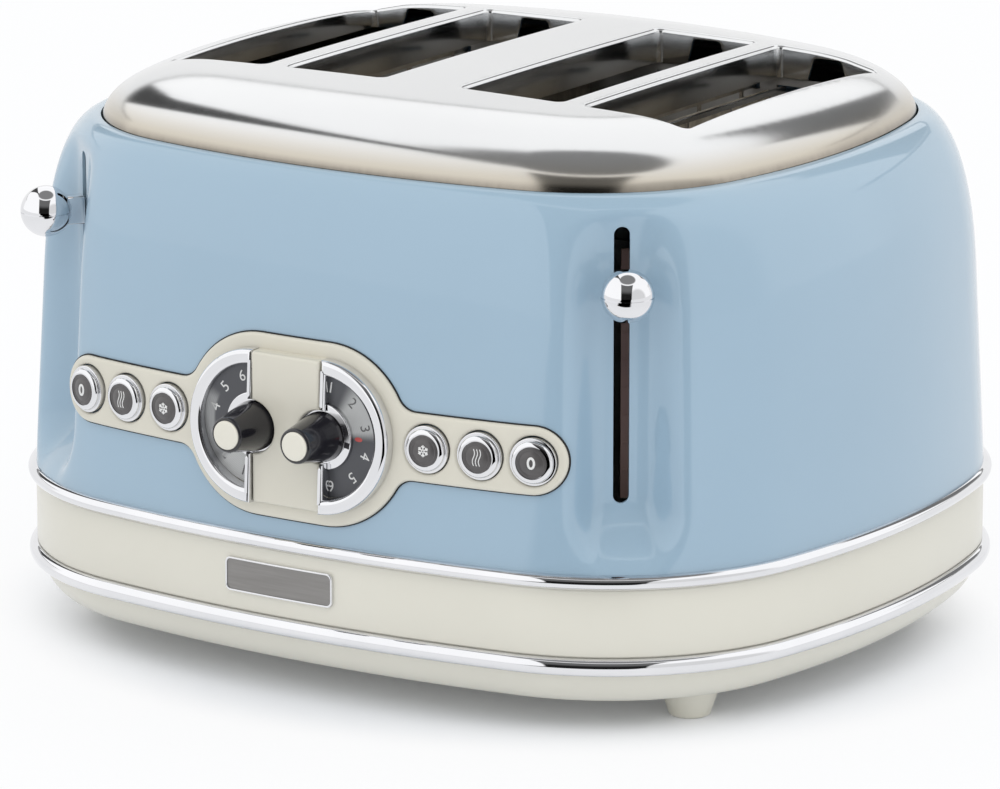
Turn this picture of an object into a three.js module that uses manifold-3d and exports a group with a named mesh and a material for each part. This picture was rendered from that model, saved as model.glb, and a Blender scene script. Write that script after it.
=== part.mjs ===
// Four-slot toaster, as an assembly of separate named pieces.
// Millimetres, +Z up. The front faces -Y, and left and right are as seen from the front.
// The ground is z = 0, and the origin is under the middle of the whole toaster.

import * as THREE from 'three';
import { mergeVertices } from 'three/addons/utils/BufferGeometryUtils.js';
import Module from 'manifold-3d';

const wasm = await Module();
wasm.setup();

// Plan of the body at its foot: half sizes and the radii of its front, side and corner arcs
const bodyHalfWidth = 165;
const bodyHalfDepth = 141;
const bodyFrontRadius = 548;
const bodySideRadius = 315;
const bodyCornerRadius = 86.7;

// Plan of the opening that the cap fills
const lipHalfWidth = 139.4;
const lipHalfDepth = 122.5;
const lipFrontRadius = 394;
const lipSideRadius = 268;
const lipCornerRadius = 70.5;

// Heights of the stacked pieces
const footHeight = 10.9;
const panHeight = 12.2;
const lowerTrimHeight = 6.5;
const bandHeight = 24.5;
const upperTrimHeight = 5.3;
const shellHeight = 129.6;
const capRise = 20.2;

// Walls and beads
const shellWall = 1.2;
const capWall = 1.2;
const bandWall = 2.5;
const panWall = 2.6;
const trimBead = 3;
const trimDepth = 3;
const trimWaistShare = 0.28;
const trimRoundShare = 0.8;
const panInset = 0.6;
const panBottomInset = 12.8;
const panShares = [1, 0.9, 0.6, 0];

// Body side: a lean, given as its share of the whole turn-in, then a shoulder that turns in to the lip.
// The front and back lean more than the sides.
const shoulderHeight = 55.5;
const shoulderShare = 2.25;
const leanShare = 0.233;
const frontLeanShare = 0.4;
const shoulderRingShares = [1, 0.6, 0.36, 0.2, 0.09, 0.02, 0];
const shoulderInnerShares = [0.09, 0.36, 1];

// Cap: rim that falls from the crown to the lip, and the crown's own fall to the sides and ends
const rimWidth = 42;
const rimHeight = 18.9;
const rimShare = 2.1;
const crownSideFall = 3.3;
const crownEndFall = 1.5;
const rimInsetShares = [0, 0.02, 0.08, 0.2, 0.42, 0.72, 1];
const crownRingShare = 0.55;
const capLipGap = 0.5;
const capSkirt = 3.4;

// Bread slots
const slotWidth = 42.1;
const slotLength = 133;
const innerSlotOffset = 37.75;
const slotPitch = 51.8;
const slotSetBack = 8.5;
const slotCornerRadius = 2.5;
const flangeDepth = 10;
const flangeWall = 1;
const notchWidth = 17;
const notchTopWidth = 11;

// Lever recesses and slots
const recessAngle = THREE.MathUtils.degToRad(40);
const leverSlotX = 114.5;
const leverSlotY = 105.8;
const recessFloorHalf = 7;
const recessHalf = 21;
const recessBottom = 66;
const recessBottomRamp = 15;
const recessTop = 188;
const recessTopRamp = 12;
const leverSlotWidth = 5.6;
const leverSlotBottom = 81;
const leverSlotTop = 179;

// Levers
const leverBallRadius = 9.3;
const leverBallReach = 14.3;
const leverBallZ = 157.8;
const leverGroove = 0.5;
const leverNeckHeight = 10.4;
const leverNeckWidth = 6;
const leverNeckStandOff = 0.8;
const leverArmWidth = 3.2;
const leverArmTrim = 1;
const leverArmInner = 50;

// Control panel
const panelZ = 98.7;
const plateThickness = 1.6;
const plateGap = 0.3;
const dialOffset = 14.5;
const plateRadius = 32.5;
const armHalfHeight = 12;
const armReach = 106.4;
const armFillet = 8;
const windowRadius = 22.2;
const frameRadius = 27.5;
const frameBar = 2;
const frameFace = 145.4;
const frameBarThickness = 2.4;
const stripFace = 144.6;
const stripUnderside = 143.1;
const stripHalfHeight = 27.2;
const stripSideGap = 0.3;
const scaleFace = 141.3;
const scaleThickness = 1.1;

// Dial knobs
const skirtRadius = 12;
const skirtThickness = 1;
const skirtLift = 0.4;
const skirtClearance = 0.6;
const knobRadius = 9;
const knobTipRadius = 6.6;
const knobLength = 17;
const knobClearance = 0.6;
const knobShaftRadius = 3;
const knobCapRadius = 5.5;
const knobCapRecess = 1;
const knobCapProud = 0.6;
const knobFillet = 1;
const knobTipShare = 0.6;
const knobCapEdgeShare = 0.85;
const knobCapFallShare = 0.15;
const pointerWidth = 2.2;
const pointerLength = 2;
const pointerDepth = 0.3;

// Push buttons
const buttonOffsets = [54.9, 75.2, 94.7];
const buttonRadius = 8;
const buttonHoleClearance = 0.85;
const buttonProud = 2.2;
const buttonDepth = 2;
const buttonRound = 1.6;
const buttonFaceRadius = 4.9;
const buttonFaceProud = 0.5;
const buttonFaceDepth = 1;
const buttonStemRadius = 2.4;
const buttonStemLength = 8;
const buttonRoundShare = 0.3;
const buttonFaceEdgeShare = 0.7;
const buttonFaceFallShare = 0.25;

// Inner frames and what they hold
const frameWall = 1;
const frameFlangeGap = 0.3;
const frameHalfWidth = 118;
const frameTopHalfWidth = 104;
const frameTopChamfer = 16;
const frameTopGap = 0.5;
const cardThickness = 0.8;
const cardStandOff = 1.95;
const cardBottom = 55;
const cardTopGap = 5;
const seatGap = 0.3;

// Bread guards
const guardTravelIn = 8;
const guardWire = 0.8;
const guardUpright = 0.6;
const guardStandOff = 1.65;
const guardUprights = 5;
const guardBottom = 60;
const guardLevelStep = 7;
const guardTopGap = 4;
const guardLinkReach = 5;
const guardWindowGap = 0.4;
const guardEndMargin = 7;

// Lift carriages
const leverDrop = 71;
const leverLift = 15;
const restZ = 122;
const restBarHeight = 8;
const restBarWidth = 2;
const restFingerWidth = 19;
const restFingerSize = 2;
const restFingers = 7;
const carriagePlateWall = 2;
const carriagePlateGap = 1.4;
const carriageTop = 163;
const carriageSideMargin = 3;
const sleeveRadius = 5.6;
const sleeveHeight = 32;
const rodRadius = 3;
const rodOffset = 63.6;
const rodStandOff = 9;
const rodTopDrop = 11.4;
const rodTabWall = 2;
const barSlotGap = 0.7;
const restEndGap = 0.6;

// Lift springs and latch magnets
const springWire = 0.6;
const springCoilRadius = 4.4;
const springTurns = 8;
const magnetWidth = 16;
const magnetDepth = 12;
const magnetHeight = 29;
const magnetOffset = 50;

// Crumb trays
const trayInner = 15;
const trayOuter = 112.6;
const trayFloorZ = 31.6;
const trayWall = 1;
const trayDepth = 9;
const trayFrontY = 57;
const trayHandleDepth = 2.4;
const trayWindowGap = 0.5;
const trayFrameGap = 1;
const trayEndWall = 7.2;
const trayBridge = 4.8;
const trayPullWidth = 36;
const trayPullHeight = 4;
const trayPullProud = 2;
const runnerWidth = 3;
const runnerInset = 12;

// Base
const footTopRadius = 11;
const footBottomRadius = 7.6;
const footEdge = 1;
const footInsetX = 39;
const footInsetY = 63;
const ventLength = 46;
const ventWidth = 4;
const ventPitch = 12;
const ventCount = 4;
const glandRadius = 6.6;
const glandFlangeRadius = 9;
const glandFlange = 1.6;
const glandBore = 4.1;
const glandZ = 42;

// Control board
const boardHalfWidth = 84;
const boardHeight = 50;
const boardWall = 1.6;
const boardReach = 104.9;
const potRadius = 8;
const potDepth = 12.8;
const shaftInPot = 6.4;

// Fineness of the round forms
const frontSteps = 3;
const frontCornerSteps = 9;
const plainCornerSteps = 5;
const sideSteps = 2;
const roundSteps = 20;
const smallSteps = 14;
const wireSides = 5;
const stemSides = 8;
const rodSides = 12;
const sleeveSides = 16;
const outlineSteps = 9;
const plateSteps = 3;
const slotEndSteps = 4;
const slotCornerSteps = 2;
const springSteps = 8;
const ballSteps = 4;
const overrun = 3;

// Levels that follow from the heights
const panTop = footHeight + panHeight;
const bandBottom = panTop + lowerTrimHeight;
const bandTop = bandBottom + bandHeight;
const shellBottom = bandTop + upperTrimHeight;
const lipZ = shellBottom + shellHeight;
const crownZ = lipZ + capRise;
const panFloor = footHeight + panWall;
const footOffsetX = bodyHalfWidth - footInsetX;
const footOffsetY = bodyHalfDepth - footInsetY;

// The toaster reaches from the knobs' caps to the trim at the back, and its origin is half way
const knobBaseY = scaleFace + skirtLift + skirtThickness;
const frontReach = knobBaseY + knobLength + knobCapProud;
const backReach = bodyHalfDepth + trimBead;
const depthShift = (frontReach - backReach) / 2;

const toaster = new THREE.Group();
toaster.position.y = depthShift;

// Materials
const paint = { color: 0xa6c3dc, roughness: 0.18, metalness: 0 };
const cream = { color: 0xe2dfd1, roughness: 0.3, metalness: 0 };
const chrome = { color: 0xd9dadc, roughness: 0.06, metalness: 1 };
const stainless = { color: 0xb9b6b0, roughness: 0.24, metalness: 1 };
const steel = { color: 0x8f8d89, roughness: 0.45, metalness: 1 };
const blackGloss = { color: 0x15161a, roughness: 0.16, metalness: 0 };
const darkFace = { color: 0x3c3d40, roughness: 0.35, metalness: 0 };
const mica = { color: 0x8a7355, roughness: 0.7, metalness: 0 };
const boardGreen = { color: 0x2f5a3a, roughness: 0.6, metalness: 0 };
const rubber = { color: 0x26262a, roughness: 0.8, metalness: 0 };

// A closed geometry as a solid that can be joined and cut
function solid(geometry) {
  const bare = geometry.clone();
  bare.deleteAttribute('normal');
  bare.deleteAttribute('uv');
  const merged = mergeVertices(bare);
  const corners = merged.index.array;
  const kept = [];
  for (let i = 0; i < corners.length; i += 3) {
    const [a, b, c] = [corners[i], corners[i + 1], corners[i + 2]];
    if (a !== b && b !== c && c !== a) kept.push(a, b, c);
  }
  return new wasm.Manifold(new wasm.Mesh({
    numProp: 3,
    vertProperties: new Float32Array(merged.attributes.position.array),
    triVerts: new Uint32Array(kept),
  }));
}

function geometryOf(shape) {
  const mesh = shape.getMesh();
  const geometry = new THREE.BufferGeometry();
  geometry.setAttribute('position', new THREE.BufferAttribute(new Float32Array(mesh.vertProperties), 3));
  geometry.setIndex(new THREE.BufferAttribute(new Uint32Array(mesh.triVerts), 1));
  geometry.computeVertexNormals();
  return geometry;
}

function joined(shapes) {
  return shapes.reduce((whole, next) => whole.add(next));
}

function cut(shape, tools) {
  return tools.reduce((left, tool) => left.subtract(tool), shape);
}

function addPiece(name, shape, finish, parent = toaster) {
  const mesh = new THREE.Mesh(geometryOf(shape), new THREE.MeshStandardMaterial(finish));
  mesh.name = name;
  parent.add(mesh);
  return mesh;
}

// A box between two corners
function block(low, high) {
  const geometry = new THREE.BoxGeometry(high[0] - low[0], high[1] - low[1], high[2] - low[2]);
  geometry.translate((low[0] + high[0]) / 2, (low[1] + high[1]) / 2, (low[2] + high[2]) / 2);
  return solid(geometry);
}

// The same box on one side of the toaster, with x counted outwards
function sideBlock(side, low, high) {
  const [x1, x2] = [side * low[0], side * high[0]];
  return block([Math.min(x1, x2), low[1], low[2]], [Math.max(x1, x2), high[1], high[2]]);
}

// A round bar between two points
function bar(from, to, radius, sides) {
  const start = new THREE.Vector3(...from);
  const run = new THREE.Vector3(...to).sub(start);
  const geometry = new THREE.CylinderGeometry(radius, radius, run.length(), sides);
  geometry.applyQuaternion(new THREE.Quaternion().setFromUnitVectors(
    new THREE.Vector3(0, 1, 0), run.clone().normalize()));
  geometry.translate(start.x + run.x / 2, start.y + run.y / 2, start.z + run.z / 2);
  return solid(geometry);
}

// A turned piece whose axis points out of the front, its profile given as [radius, y]
function turnedForward(profile, x, z, steps = roundSteps) {
  const points = profile.map(([radius, y]) => new THREE.Vector2(radius, y));
  const geometry = new THREE.LatheGeometry(points, steps);
  geometry.rotateZ(Math.PI);
  geometry.translate(x, 0, z);
  return solid(geometry);
}

// A turned piece on an upright axis, its profile given as [radius, z]
function turnedUpright(profile, x, y, steps = roundSteps) {
  const geometry = new THREE.LatheGeometry(profile.map(([radius, z]) => new THREE.Vector2(radius, z)), steps);
  geometry.rotateX(Math.PI / 2);
  geometry.translate(x, y, 0);
  return solid(geometry);
}

// An outline drawn as seen from the front, standing from one depth in front of the middle to another
function frontSlab(shape, nearY, farY, curveSegments = outlineSteps) {
  const depth = nearY - farY;
  const geometry = new THREE.ExtrudeGeometry(shape, { depth, bevelEnabled: false, curveSegments });
  geometry.rotateX(Math.PI / 2);
  geometry.translate(0, -farY, 0);
  return solid(geometry);
}

// The arcs of a plan: half sizes, radii, and the corner centre where front and side arcs hand over
function planArcs(plan) {
  const frontCentreY = plan.halfDepth - plan.front;
  const sideCentreX = plan.halfWidth - plan.side;
  const toFront = plan.front - plan.corner;
  const toSide = plan.side - plan.corner;
  const apart = Math.hypot(sideCentreX, frontCentreY);
  const along = (toFront * toFront - toSide * toSide + apart * apart) / (2 * apart);
  const off = Math.sqrt(toFront * toFront - along * along);
  const ux = sideCentreX / apart;
  const uy = -frontCentreY / apart;
  const cornerX = ux * along + uy * off;
  const cornerY = frontCentreY + uy * along - ux * off;
  return {
    frontCentreY, sideCentreX, cornerX, cornerY,
    frontAngle: Math.atan2(cornerY - frontCentreY, cornerX),
    sideAngle: Math.atan2(cornerY, cornerX - sideCentreX),
  };
}

const bodyPlan = {
  halfWidth: bodyHalfWidth, halfDepth: bodyHalfDepth,
  front: bodyFrontRadius, side: bodySideRadius, corner: bodyCornerRadius,
};
const lipPlan = {
  halfWidth: lipHalfWidth, halfDepth: lipHalfDepth,
  front: lipFrontRadius, side: lipSideRadius, corner: lipCornerRadius,
};

// The plan part of the way in from the body's foot to the lip
function blendPlan(share) {
  const plan = {};
  for (const key of Object.keys(bodyPlan)) {
    plan[key] = THREE.MathUtils.lerp(bodyPlan[key], lipPlan[key], share);
  }
  return plan;
}

// One quarter of an outline, from the middle of the side to the middle of the front or back
function quarter(plan, inset, cornerSteps) {
  const arcs = planArcs(plan);
  const points = [];
  const sweep = (centreX, centreY, radius, from, to, steps) => {
    for (let i = points.length ? 1 : 0; i <= steps; i += 1) {
      const angle = THREE.MathUtils.lerp(from, to, i / steps);
      points.push([centreX + radius * Math.cos(angle), centreY + radius * Math.sin(angle)]);
    }
  };
  sweep(arcs.sideCentreX, 0, plan.side - inset, 0, arcs.sideAngle, sideSteps);
  sweep(arcs.cornerX, arcs.cornerY, plan.corner - inset, arcs.sideAngle, arcs.frontAngle, cornerSteps);
  sweep(0, arcs.frontCentreY, plan.front - inset, arcs.frontAngle, Math.PI / 2, frontSteps);
  return points;
}

// The whole outline, anticlockwise from above, with finer corners at the front where they are asked for
function outline(plan, inset, cornerSteps = plainCornerSteps) {
  const back = quarter(plan, inset, plainCornerSteps);
  const front = quarter(plan, inset, cornerSteps);
  const backRight = back.slice(0, -1);
  const backLeft = back.slice(1).reverse().map(([x, y]) => [-x, y]);
  const frontLeft = front.slice(0, -1).map(([x, y]) => [-x, -y]);
  const frontRight = front.slice(1).reverse().map(([x, y]) => [x, -y]);
  return [...backRight, ...backLeft, ...frontLeft, ...frontRight];
}

function ringAt(plan, inset, z, cornerSteps) {
  return outline(plan, inset, cornerSteps).map(([x, y]) => new THREE.Vector3(x, y, z));
}

// Where the front of a plan lies at a distance from the middle, and how far it has turned there
function frontPoint(plan, x) {
  const arcs = planArcs(plan);
  const reach = Math.abs(x);
  const onCorner = reach > plan.front * Math.cos(arcs.frontAngle);
  const radius = onCorner ? plan.corner : plan.front;
  const centreX = onCorner ? arcs.cornerX : 0;
  const centreY = onCorner ? arcs.cornerY : arcs.frontCentreY;
  const turn = Math.asin((reach - centreX) / radius);
  return { y: -(centreY + radius * Math.cos(turn)), turn: Math.sign(x) * turn };
}

// A solid through rings of equal count, closed by a fan at each end
function loft(rings, startHeight = rings[0][0].z, endHeight = rings[rings.length - 1][0].z) {
  const count = rings[0].length;
  const positions = rings.flat().flatMap((p) => [p.x, p.y, p.z]);
  const index = [];
  for (let r = 0; r + 1 < rings.length; r += 1) {
    for (let i = 0; i < count; i += 1) {
      const [a, b] = [r * count + i, r * count + (i + 1) % count];
      index.push(a, b, b + count, a, b + count, a + count);
    }
  }
  const start = positions.length / 3;
  positions.push(0, 0, startHeight, 0, 0, endHeight);
  const last = (rings.length - 1) * count;
  for (let i = 0; i < count; i += 1) {
    const next = (i + 1) % count;
    index.push(start, next, i);
    index.push(start + 1, last + i, last + next);
  }
  return solid(indexedGeometry(positions, index));
}

// A ring-shaped solid: the outlines go up its outside and down its inside
function hoop(rings) {
  const count = rings[0].length;
  const positions = rings.flat().flatMap((p) => [p.x, p.y, p.z]);
  const index = [];
  rings.forEach((ring, r) => {
    const above = ((r + 1) % rings.length) * count;
    for (let i = 0; i < count; i += 1) {
      const next = (i + 1) % count;
      index.push(r * count + i, r * count + next, above + next, r * count + i, above + next, above + i);
    }
  });
  return solid(indexedGeometry(positions, index));
}

function indexedGeometry(positions, index) {
  const geometry = new THREE.BufferGeometry();
  geometry.setAttribute('position', new THREE.Float32BufferAttribute(positions, 3));
  geometry.setIndex(index);
  return geometry;
}

// How far in towards the lip the body has come at a height, from 0 at its foot to 1
function bodyShare(z, lean) {
  const up = Math.max(z - shellBottom, 0);
  const turned = Math.max(z - (lipZ - shoulderHeight), 0) / shoulderHeight;
  const round = 1 - Math.pow(Math.max(1 - Math.pow(turned, shoulderShare), 0), 1 / shoulderShare);
  return lean * up / shellHeight + (1 - lean) * round;
}

// The body's plan at a height
function planAt(z) {
  return {
    ...blendPlan(bodyShare(z, leanShare)),
    halfDepth: blendPlan(bodyShare(z, frontLeanShare)).halfDepth,
  };
}

function smooth(value, from, to) {
  return THREE.MathUtils.smoothstep(value, from, to);
}

// Outward direction of a lever recess, and the direction across it
function recessFrame(side) {
  return {
    out: [side * Math.sin(recessAngle), -Math.cos(recessAngle)],
    across: [side * Math.cos(recessAngle), Math.sin(recessAngle)],
    foot: [side * leverSlotX, -leverSlotY],
  };
}

// A ring of the body, pressed in to the flat floor of the recess at each front corner
function bodyRing(z, inset) {
  return outline(planAt(z), inset, frontCornerSteps).map(([x, y]) => {
    const point = new THREE.Vector3(x, y, z);
    if (y > 0) return point;
    const { out, across, foot } = recessFrame(Math.sign(x) || 1);
    const lateral = Math.abs((x - foot[0]) * across[0] + (y - foot[1]) * across[1]);
    const proud = (x - foot[0]) * out[0] + (y - foot[1]) * out[1] + inset;
    const pressed = 1 - smooth(lateral, recessFloorHalf, recessHalf);
    const within = smooth(z, recessBottom, recessBottom + recessBottomRamp)
      * (1 - smooth(z, recessTop - recessTopRamp, recessTop));
    const move = Math.max(proud, 0) * pressed * within;
    point.x -= out[0] * move;
    point.y -= out[1] * move;
    return point;
  });
}

// Heights of the body's rings: close where it bends, wide where it runs straight
const shoulderLevel = (share) => lipZ - shoulderHeight * share;
const bodyLevels = [
  shellBottom,
  recessBottom,
  recessBottom + recessBottomRamp / 2,
  recessBottom + recessBottomRamp,
  ...shoulderRingShares.map(shoulderLevel),
];
const innerLevels = [
  ...shoulderInnerShares.map(shoulderLevel),
  recessBottom + recessBottomRamp,
  recessBottom,
  shellBottom,
];

// The space inside the body's straight part, grown or shrunk, to shape what lies against its front
function bodySpace(inset) {
  return loft([shellBottom, lipZ - shoulderHeight].map((z) => ringAt(
    planAt(z), inset, z, frontCornerSteps)));
}

// An upright slot or hole through a recess floor
function leverSlotTool(side) {
  const { out, foot } = recessFrame(side);
  const half = leverSlotWidth / 2;
  const shape = new THREE.Shape();
  shape.moveTo(half, leverSlotBottom + half);
  shape.lineTo(half, leverSlotTop - half);
  shape.absarc(0, leverSlotTop - half, half, 0, Math.PI, false);
  shape.lineTo(-half, leverSlotBottom + half);
  shape.absarc(0, leverSlotBottom + half, half, Math.PI, Math.PI * 2, false);
  const depth = (shellWall + overrun) * 2;
  const geometry = new THREE.ExtrudeGeometry(shape, {
    depth, bevelEnabled: false, curveSegments: slotEndSteps,
  });
  geometry.translate(0, 0, -depth / 2);
  geometry.rotateX(Math.PI / 2);
  geometry.rotateZ(Math.atan2(out[0], -out[1]));
  geometry.translate(foot[0], foot[1], 0);
  return solid(geometry);
}

// Where each button sits: on the panel, square to the body there
const panelPlan = planAt(panelZ);
const buttonPlaces = [...buttonOffsets.map((x) => -x).reverse(), ...buttonOffsets].map((x) => {
  const { y, turn } = frontPoint(panelPlan, x);
  return { x, y, turn };
});

// A round hole square to the body at a button
function buttonHole(place, radius, sides) {
  const out = [Math.sin(place.turn), -Math.cos(place.turn)];
  const reach = shellWall + plateThickness + overrun * 2;
  const from = [place.x - out[0] * reach, place.y - out[1] * reach, panelZ];
  const to = [place.x + out[0] * reach, place.y + out[1] * reach, panelZ];
  return bar(from, to, radius, sides);
}

function makeBodyShell() {
  const outside = bodyLevels.map((z) => bodyRing(z, 0));
  const lipInside = bodyRing(lipZ, 0).map((p) => p.clone().setZ(lipZ - shellWall));
  const inside = innerLevels.map((z) => bodyRing(z, shellWall));
  const shell = hoop([...outside, lipInside, ...inside]);
  const tools = [-1, 1].map(leverSlotTool);
  const stemHole = buttonStemRadius + buttonHoleClearance;
  for (const place of buttonPlaces) tools.push(buttonHole(place, stemHole, stemSides));
  for (const side of [-1, 1]) {
    const x = side * dialOffset;
    tools.push(bar([x, -bodyHalfDepth - overrun, panelZ], [x, -lipHalfDepth, panelZ],
      skirtRadius + skirtClearance, roundSteps));
  }
  return cut(shell, tools);
}

// The cap's height over a point, on its crown
function crownHeight(x, y) {
  return crownZ - crownSideFall * (x / lipHalfWidth) ** 2 - crownEndFall * (y / lipHalfDepth) ** 2;
}

// How far the rim has fallen below the crown at a distance in from the lip
function rimFall(inset) {
  const left = Math.max(1 - inset / rimWidth, 0);
  return rimHeight * (1 - Math.pow(1 - Math.pow(left, rimShare), 1 / rimShare));
}

// Rings of the cap's outer or inner face, from its skirt to its crown
function capRings(inset, skirtZ) {
  const rings = [ringAt(lipPlan, capLipGap + inset, skirtZ)];
  for (const share of rimInsetShares) {
    const depth = rimWidth * share;
    rings.push(ringAt(lipPlan, capLipGap + inset + depth * (1 - inset / rimWidth), 0).map((p) => {
      p.z = crownHeight(p.x, p.y) - rimFall(depth) - inset;
      return p;
    }));
  }
  rings.push(rings[rings.length - 1].map((p) => {
    const [x, y] = [p.x * crownRingShare, p.y * crownRingShare];
    return new THREE.Vector3(x, y, crownHeight(x, y) - inset);
  }));
  return rings;
}

const slots = [-1, 1].flatMap((side) => [innerSlotOffset, innerSlotOffset + slotPitch]
  .map((offset) => ({ side, x: side * offset })))
  .sort((a, b) => a.x - b.x);
const slotFront = slotSetBack - slotLength / 2;
const slotBack = slotSetBack + slotLength / 2;
const flangeBottom = crownZ - crownSideFall - flangeDepth;

// The inner frames are upright plates just before and behind the slots
const frontFrameY = slotFront - flangeWall - frameFlangeGap;
const backFrameY = slotBack + flangeWall + frameFlangeGap;

// An upright prism on a slot's rounded outline, grown by a margin
function slotPrism(slot, margin, bottom, top) {
  const [w, l, r] = [slotWidth / 2 + margin, slotLength / 2 + margin, slotCornerRadius + margin];
  const shape = new THREE.Shape();
  shape.absarc(w - r, l - r, r, 0, Math.PI / 2, false);
  shape.absarc(r - w, l - r, r, Math.PI / 2, Math.PI, false);
  shape.absarc(r - w, r - l, r, Math.PI, Math.PI * 1.5, false);
  shape.absarc(w - r, r - l, r, Math.PI * 1.5, Math.PI * 2, false);
  const geometry = new THREE.ExtrudeGeometry(shape, {
    depth: top - bottom, bevelEnabled: false, curveSegments: slotCornerSteps,
  });
  geometry.translate(slot.x, slotSetBack, bottom);
  return solid(geometry);
}

// The notch in a slot's back wall, narrower at its top
function slotNotch(slot) {
  const top = crownHeight(slot.x, slotBack) - capWall;
  const shape = new THREE.Shape();
  shape.moveTo(slot.x - notchWidth / 2, flangeBottom - overrun);
  shape.lineTo(slot.x + notchWidth / 2, flangeBottom - overrun);
  shape.lineTo(slot.x + notchTopWidth / 2, top);
  shape.lineTo(slot.x - notchTopWidth / 2, top);
  shape.closePath();
  return frontSlab(shape, -slotBack + flangeWall, -slotBack - overrun);
}

function makeTopCap() {
  const skirtZ = lipZ - capSkirt;
  const outer = loft(capRings(0, skirtZ), skirtZ, crownZ);
  const innerRings = capRings(capWall, skirtZ - overrun);
  const inner = loft(innerRings, skirtZ - overrun, crownZ - capWall);
  const collars = slots.map((slot) => slotPrism(slot, flangeWall, flangeBottom, crownZ).intersect(outer));
  const cap = joined([outer.subtract(inner), ...collars]);
  const tools = slots.map((slot) => slotPrism(slot, 0, flangeBottom - overrun, crownZ + overrun));
  return cut(cap, [...tools, ...slots.map(slotNotch)]);
}

// A bead with a half-round outside, seated between two levels
function makeTrim(bottom, height) {
  const middle = bottom + height / 2;
  const waist = height * trimWaistShare;
  const round = trimBead * trimRoundShare;
  return hoop([
    ringAt(bodyPlan, trimDepth, bottom),
    ringAt(bodyPlan, 0, bottom),
    ringAt(bodyPlan, -round, middle - waist),
    ringAt(bodyPlan, -trimBead, middle),
    ringAt(bodyPlan, -round, middle + waist),
    ringAt(bodyPlan, 0, bottom + height),
    ringAt(bodyPlan, trimDepth, bottom + height),
  ]);
}

const trayWindowBottom = trayFloorZ - trayWindowGap;
const trayWindowTop = trayFloorZ + trayDepth + trayWall + trayWindowGap;

// The opening that a crumb tray slides through, from one depth to another
function trayWindow(side, fromY, toY, margin) {
  return sideBlock(side,
    [trayInner - margin, fromY, trayWindowBottom + trayWindowGap - margin],
    [trayOuter + margin, toY, trayWindowTop - trayWindowGap + margin]);
}

function makeBaseBand() {
  const band = hoop([
    ringAt(bodyPlan, 0, bandBottom), ringAt(bodyPlan, 0, bandTop),
    ringAt(bodyPlan, bandWall, bandTop), ringAt(bodyPlan, bandWall, bandBottom),
  ]);
  const tools = [-1, 1].map((side) => trayWindow(side, backFrameY, bodyHalfDepth + overrun, trayWindowGap));
  tools.push(bar([0, bodyHalfDepth - bandWall - overrun, glandZ], [0, bodyHalfDepth + overrun, glandZ],
    glandRadius + seatGap, smallSteps));
  return cut(band, tools);
}

// The pan's plan part of the way down from its rim
function panInsetAt(share) {
  return panInset + (panBottomInset - panInset) * (1 - Math.sqrt(Math.max(1 - share * share, 0)));
}

function makeBasePan() {
  const outside = panShares.map((share) => ringAt(bodyPlan, panInsetAt(share), panTop - panHeight * share));
  const inside = panShares.slice(1).reverse().map((share) => {
    const z = Math.max(panTop - panHeight * share, panFloor);
    return ringAt(bodyPlan, panInsetAt(share) + panWall, z);
  });
  inside[inside.length - 1].forEach((p) => { p.z = panFloor; });
  const dish = loft([...outside, ...inside]);
  const runnerXs = [trayInner + runnerInset, trayOuter - runnerInset];
  const runners = [-1, 1].flatMap((side) => runnerXs.map((x) => sideBlock(side,
    [x - runnerWidth / 2, -trayFrontY, panFloor - panWall / 2],
    [x + runnerWidth / 2, backFrameY - seatGap, trayFloorZ - seatGap])));
  const vents = [-1, 1].flatMap((side) => Array.from({ length: ventCount }, (_, i) => {
    const y = (i - (ventCount - 1) / 2) * ventPitch;
    const middle = (trayInner + trayOuter) / 2;
    return sideBlock(side, [middle - ventLength / 2, y - ventWidth / 2, footHeight - overrun],
      [middle + ventLength / 2, y + ventWidth / 2, panFloor + overrun]);
  }));
  return cut(joined([dish, ...runners]), vents);
}

function makeFoot(x, y) {
  return turnedUpright([
    [0, 0], [footBottomRadius - footEdge, 0], [footBottomRadius, footEdge],
    [footTopRadius, footHeight], [0, footHeight],
  ], x, y, smallSteps);
}

function makeCordGland() {
  const outerY = bodyHalfDepth + glandFlange + seatGap;
  const innerY = bodyHalfDepth - bandWall - glandFlange;
  const profile = [
    [glandBore, innerY], [glandRadius, innerY], [glandRadius, bodyHalfDepth + seatGap],
    [glandFlangeRadius, bodyHalfDepth + seatGap], [glandFlangeRadius, outerY], [glandBore, outerY],
    [glandBore, innerY],
  ];
  const points = profile.map(([radius, y]) => new THREE.Vector2(radius, y));
  const geometry = new THREE.LatheGeometry(points, smallSteps);
  geometry.translate(0, 0, glandZ);
  return solid(geometry);
}

// The control plate's outline: a lobe for the two dials and a rounded arm on each side
function plateShape() {
  const filletZ = armHalfHeight + armFillet;
  const toFillet = Math.sqrt((plateRadius + armFillet) ** 2 - filletZ ** 2);
  const meet = Math.atan2(filletZ, toFillet);
  const filletX = dialOffset + toFillet;
  const armEnd = armReach - armHalfHeight;
  const half = Math.PI / 2;
  const shape = new THREE.Shape();
  shape.absarc(armEnd, panelZ, armHalfHeight, -half, half, false);
  shape.absarc(filletX, panelZ + filletZ, armFillet, -half, Math.PI + meet, true);
  shape.absarc(dialOffset, panelZ, plateRadius, meet, half, false);
  shape.absarc(-dialOffset, panelZ, plateRadius, half, Math.PI - meet, false);
  shape.absarc(-filletX, panelZ + filletZ, armFillet, -meet, -half, true);
  shape.absarc(-armEnd, panelZ, armHalfHeight, half, half * 3, false);
  shape.absarc(-filletX, panelZ - filletZ, armFillet, half, meet, true);
  shape.absarc(-dialOffset, panelZ, plateRadius, Math.PI + meet, half * 3, false);
  shape.absarc(dialOffset, panelZ, plateRadius, -half, -meet, false);
  shape.absarc(filletX, panelZ - filletZ, armFillet, Math.PI - meet, half, true);
  return shape;
}

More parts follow.
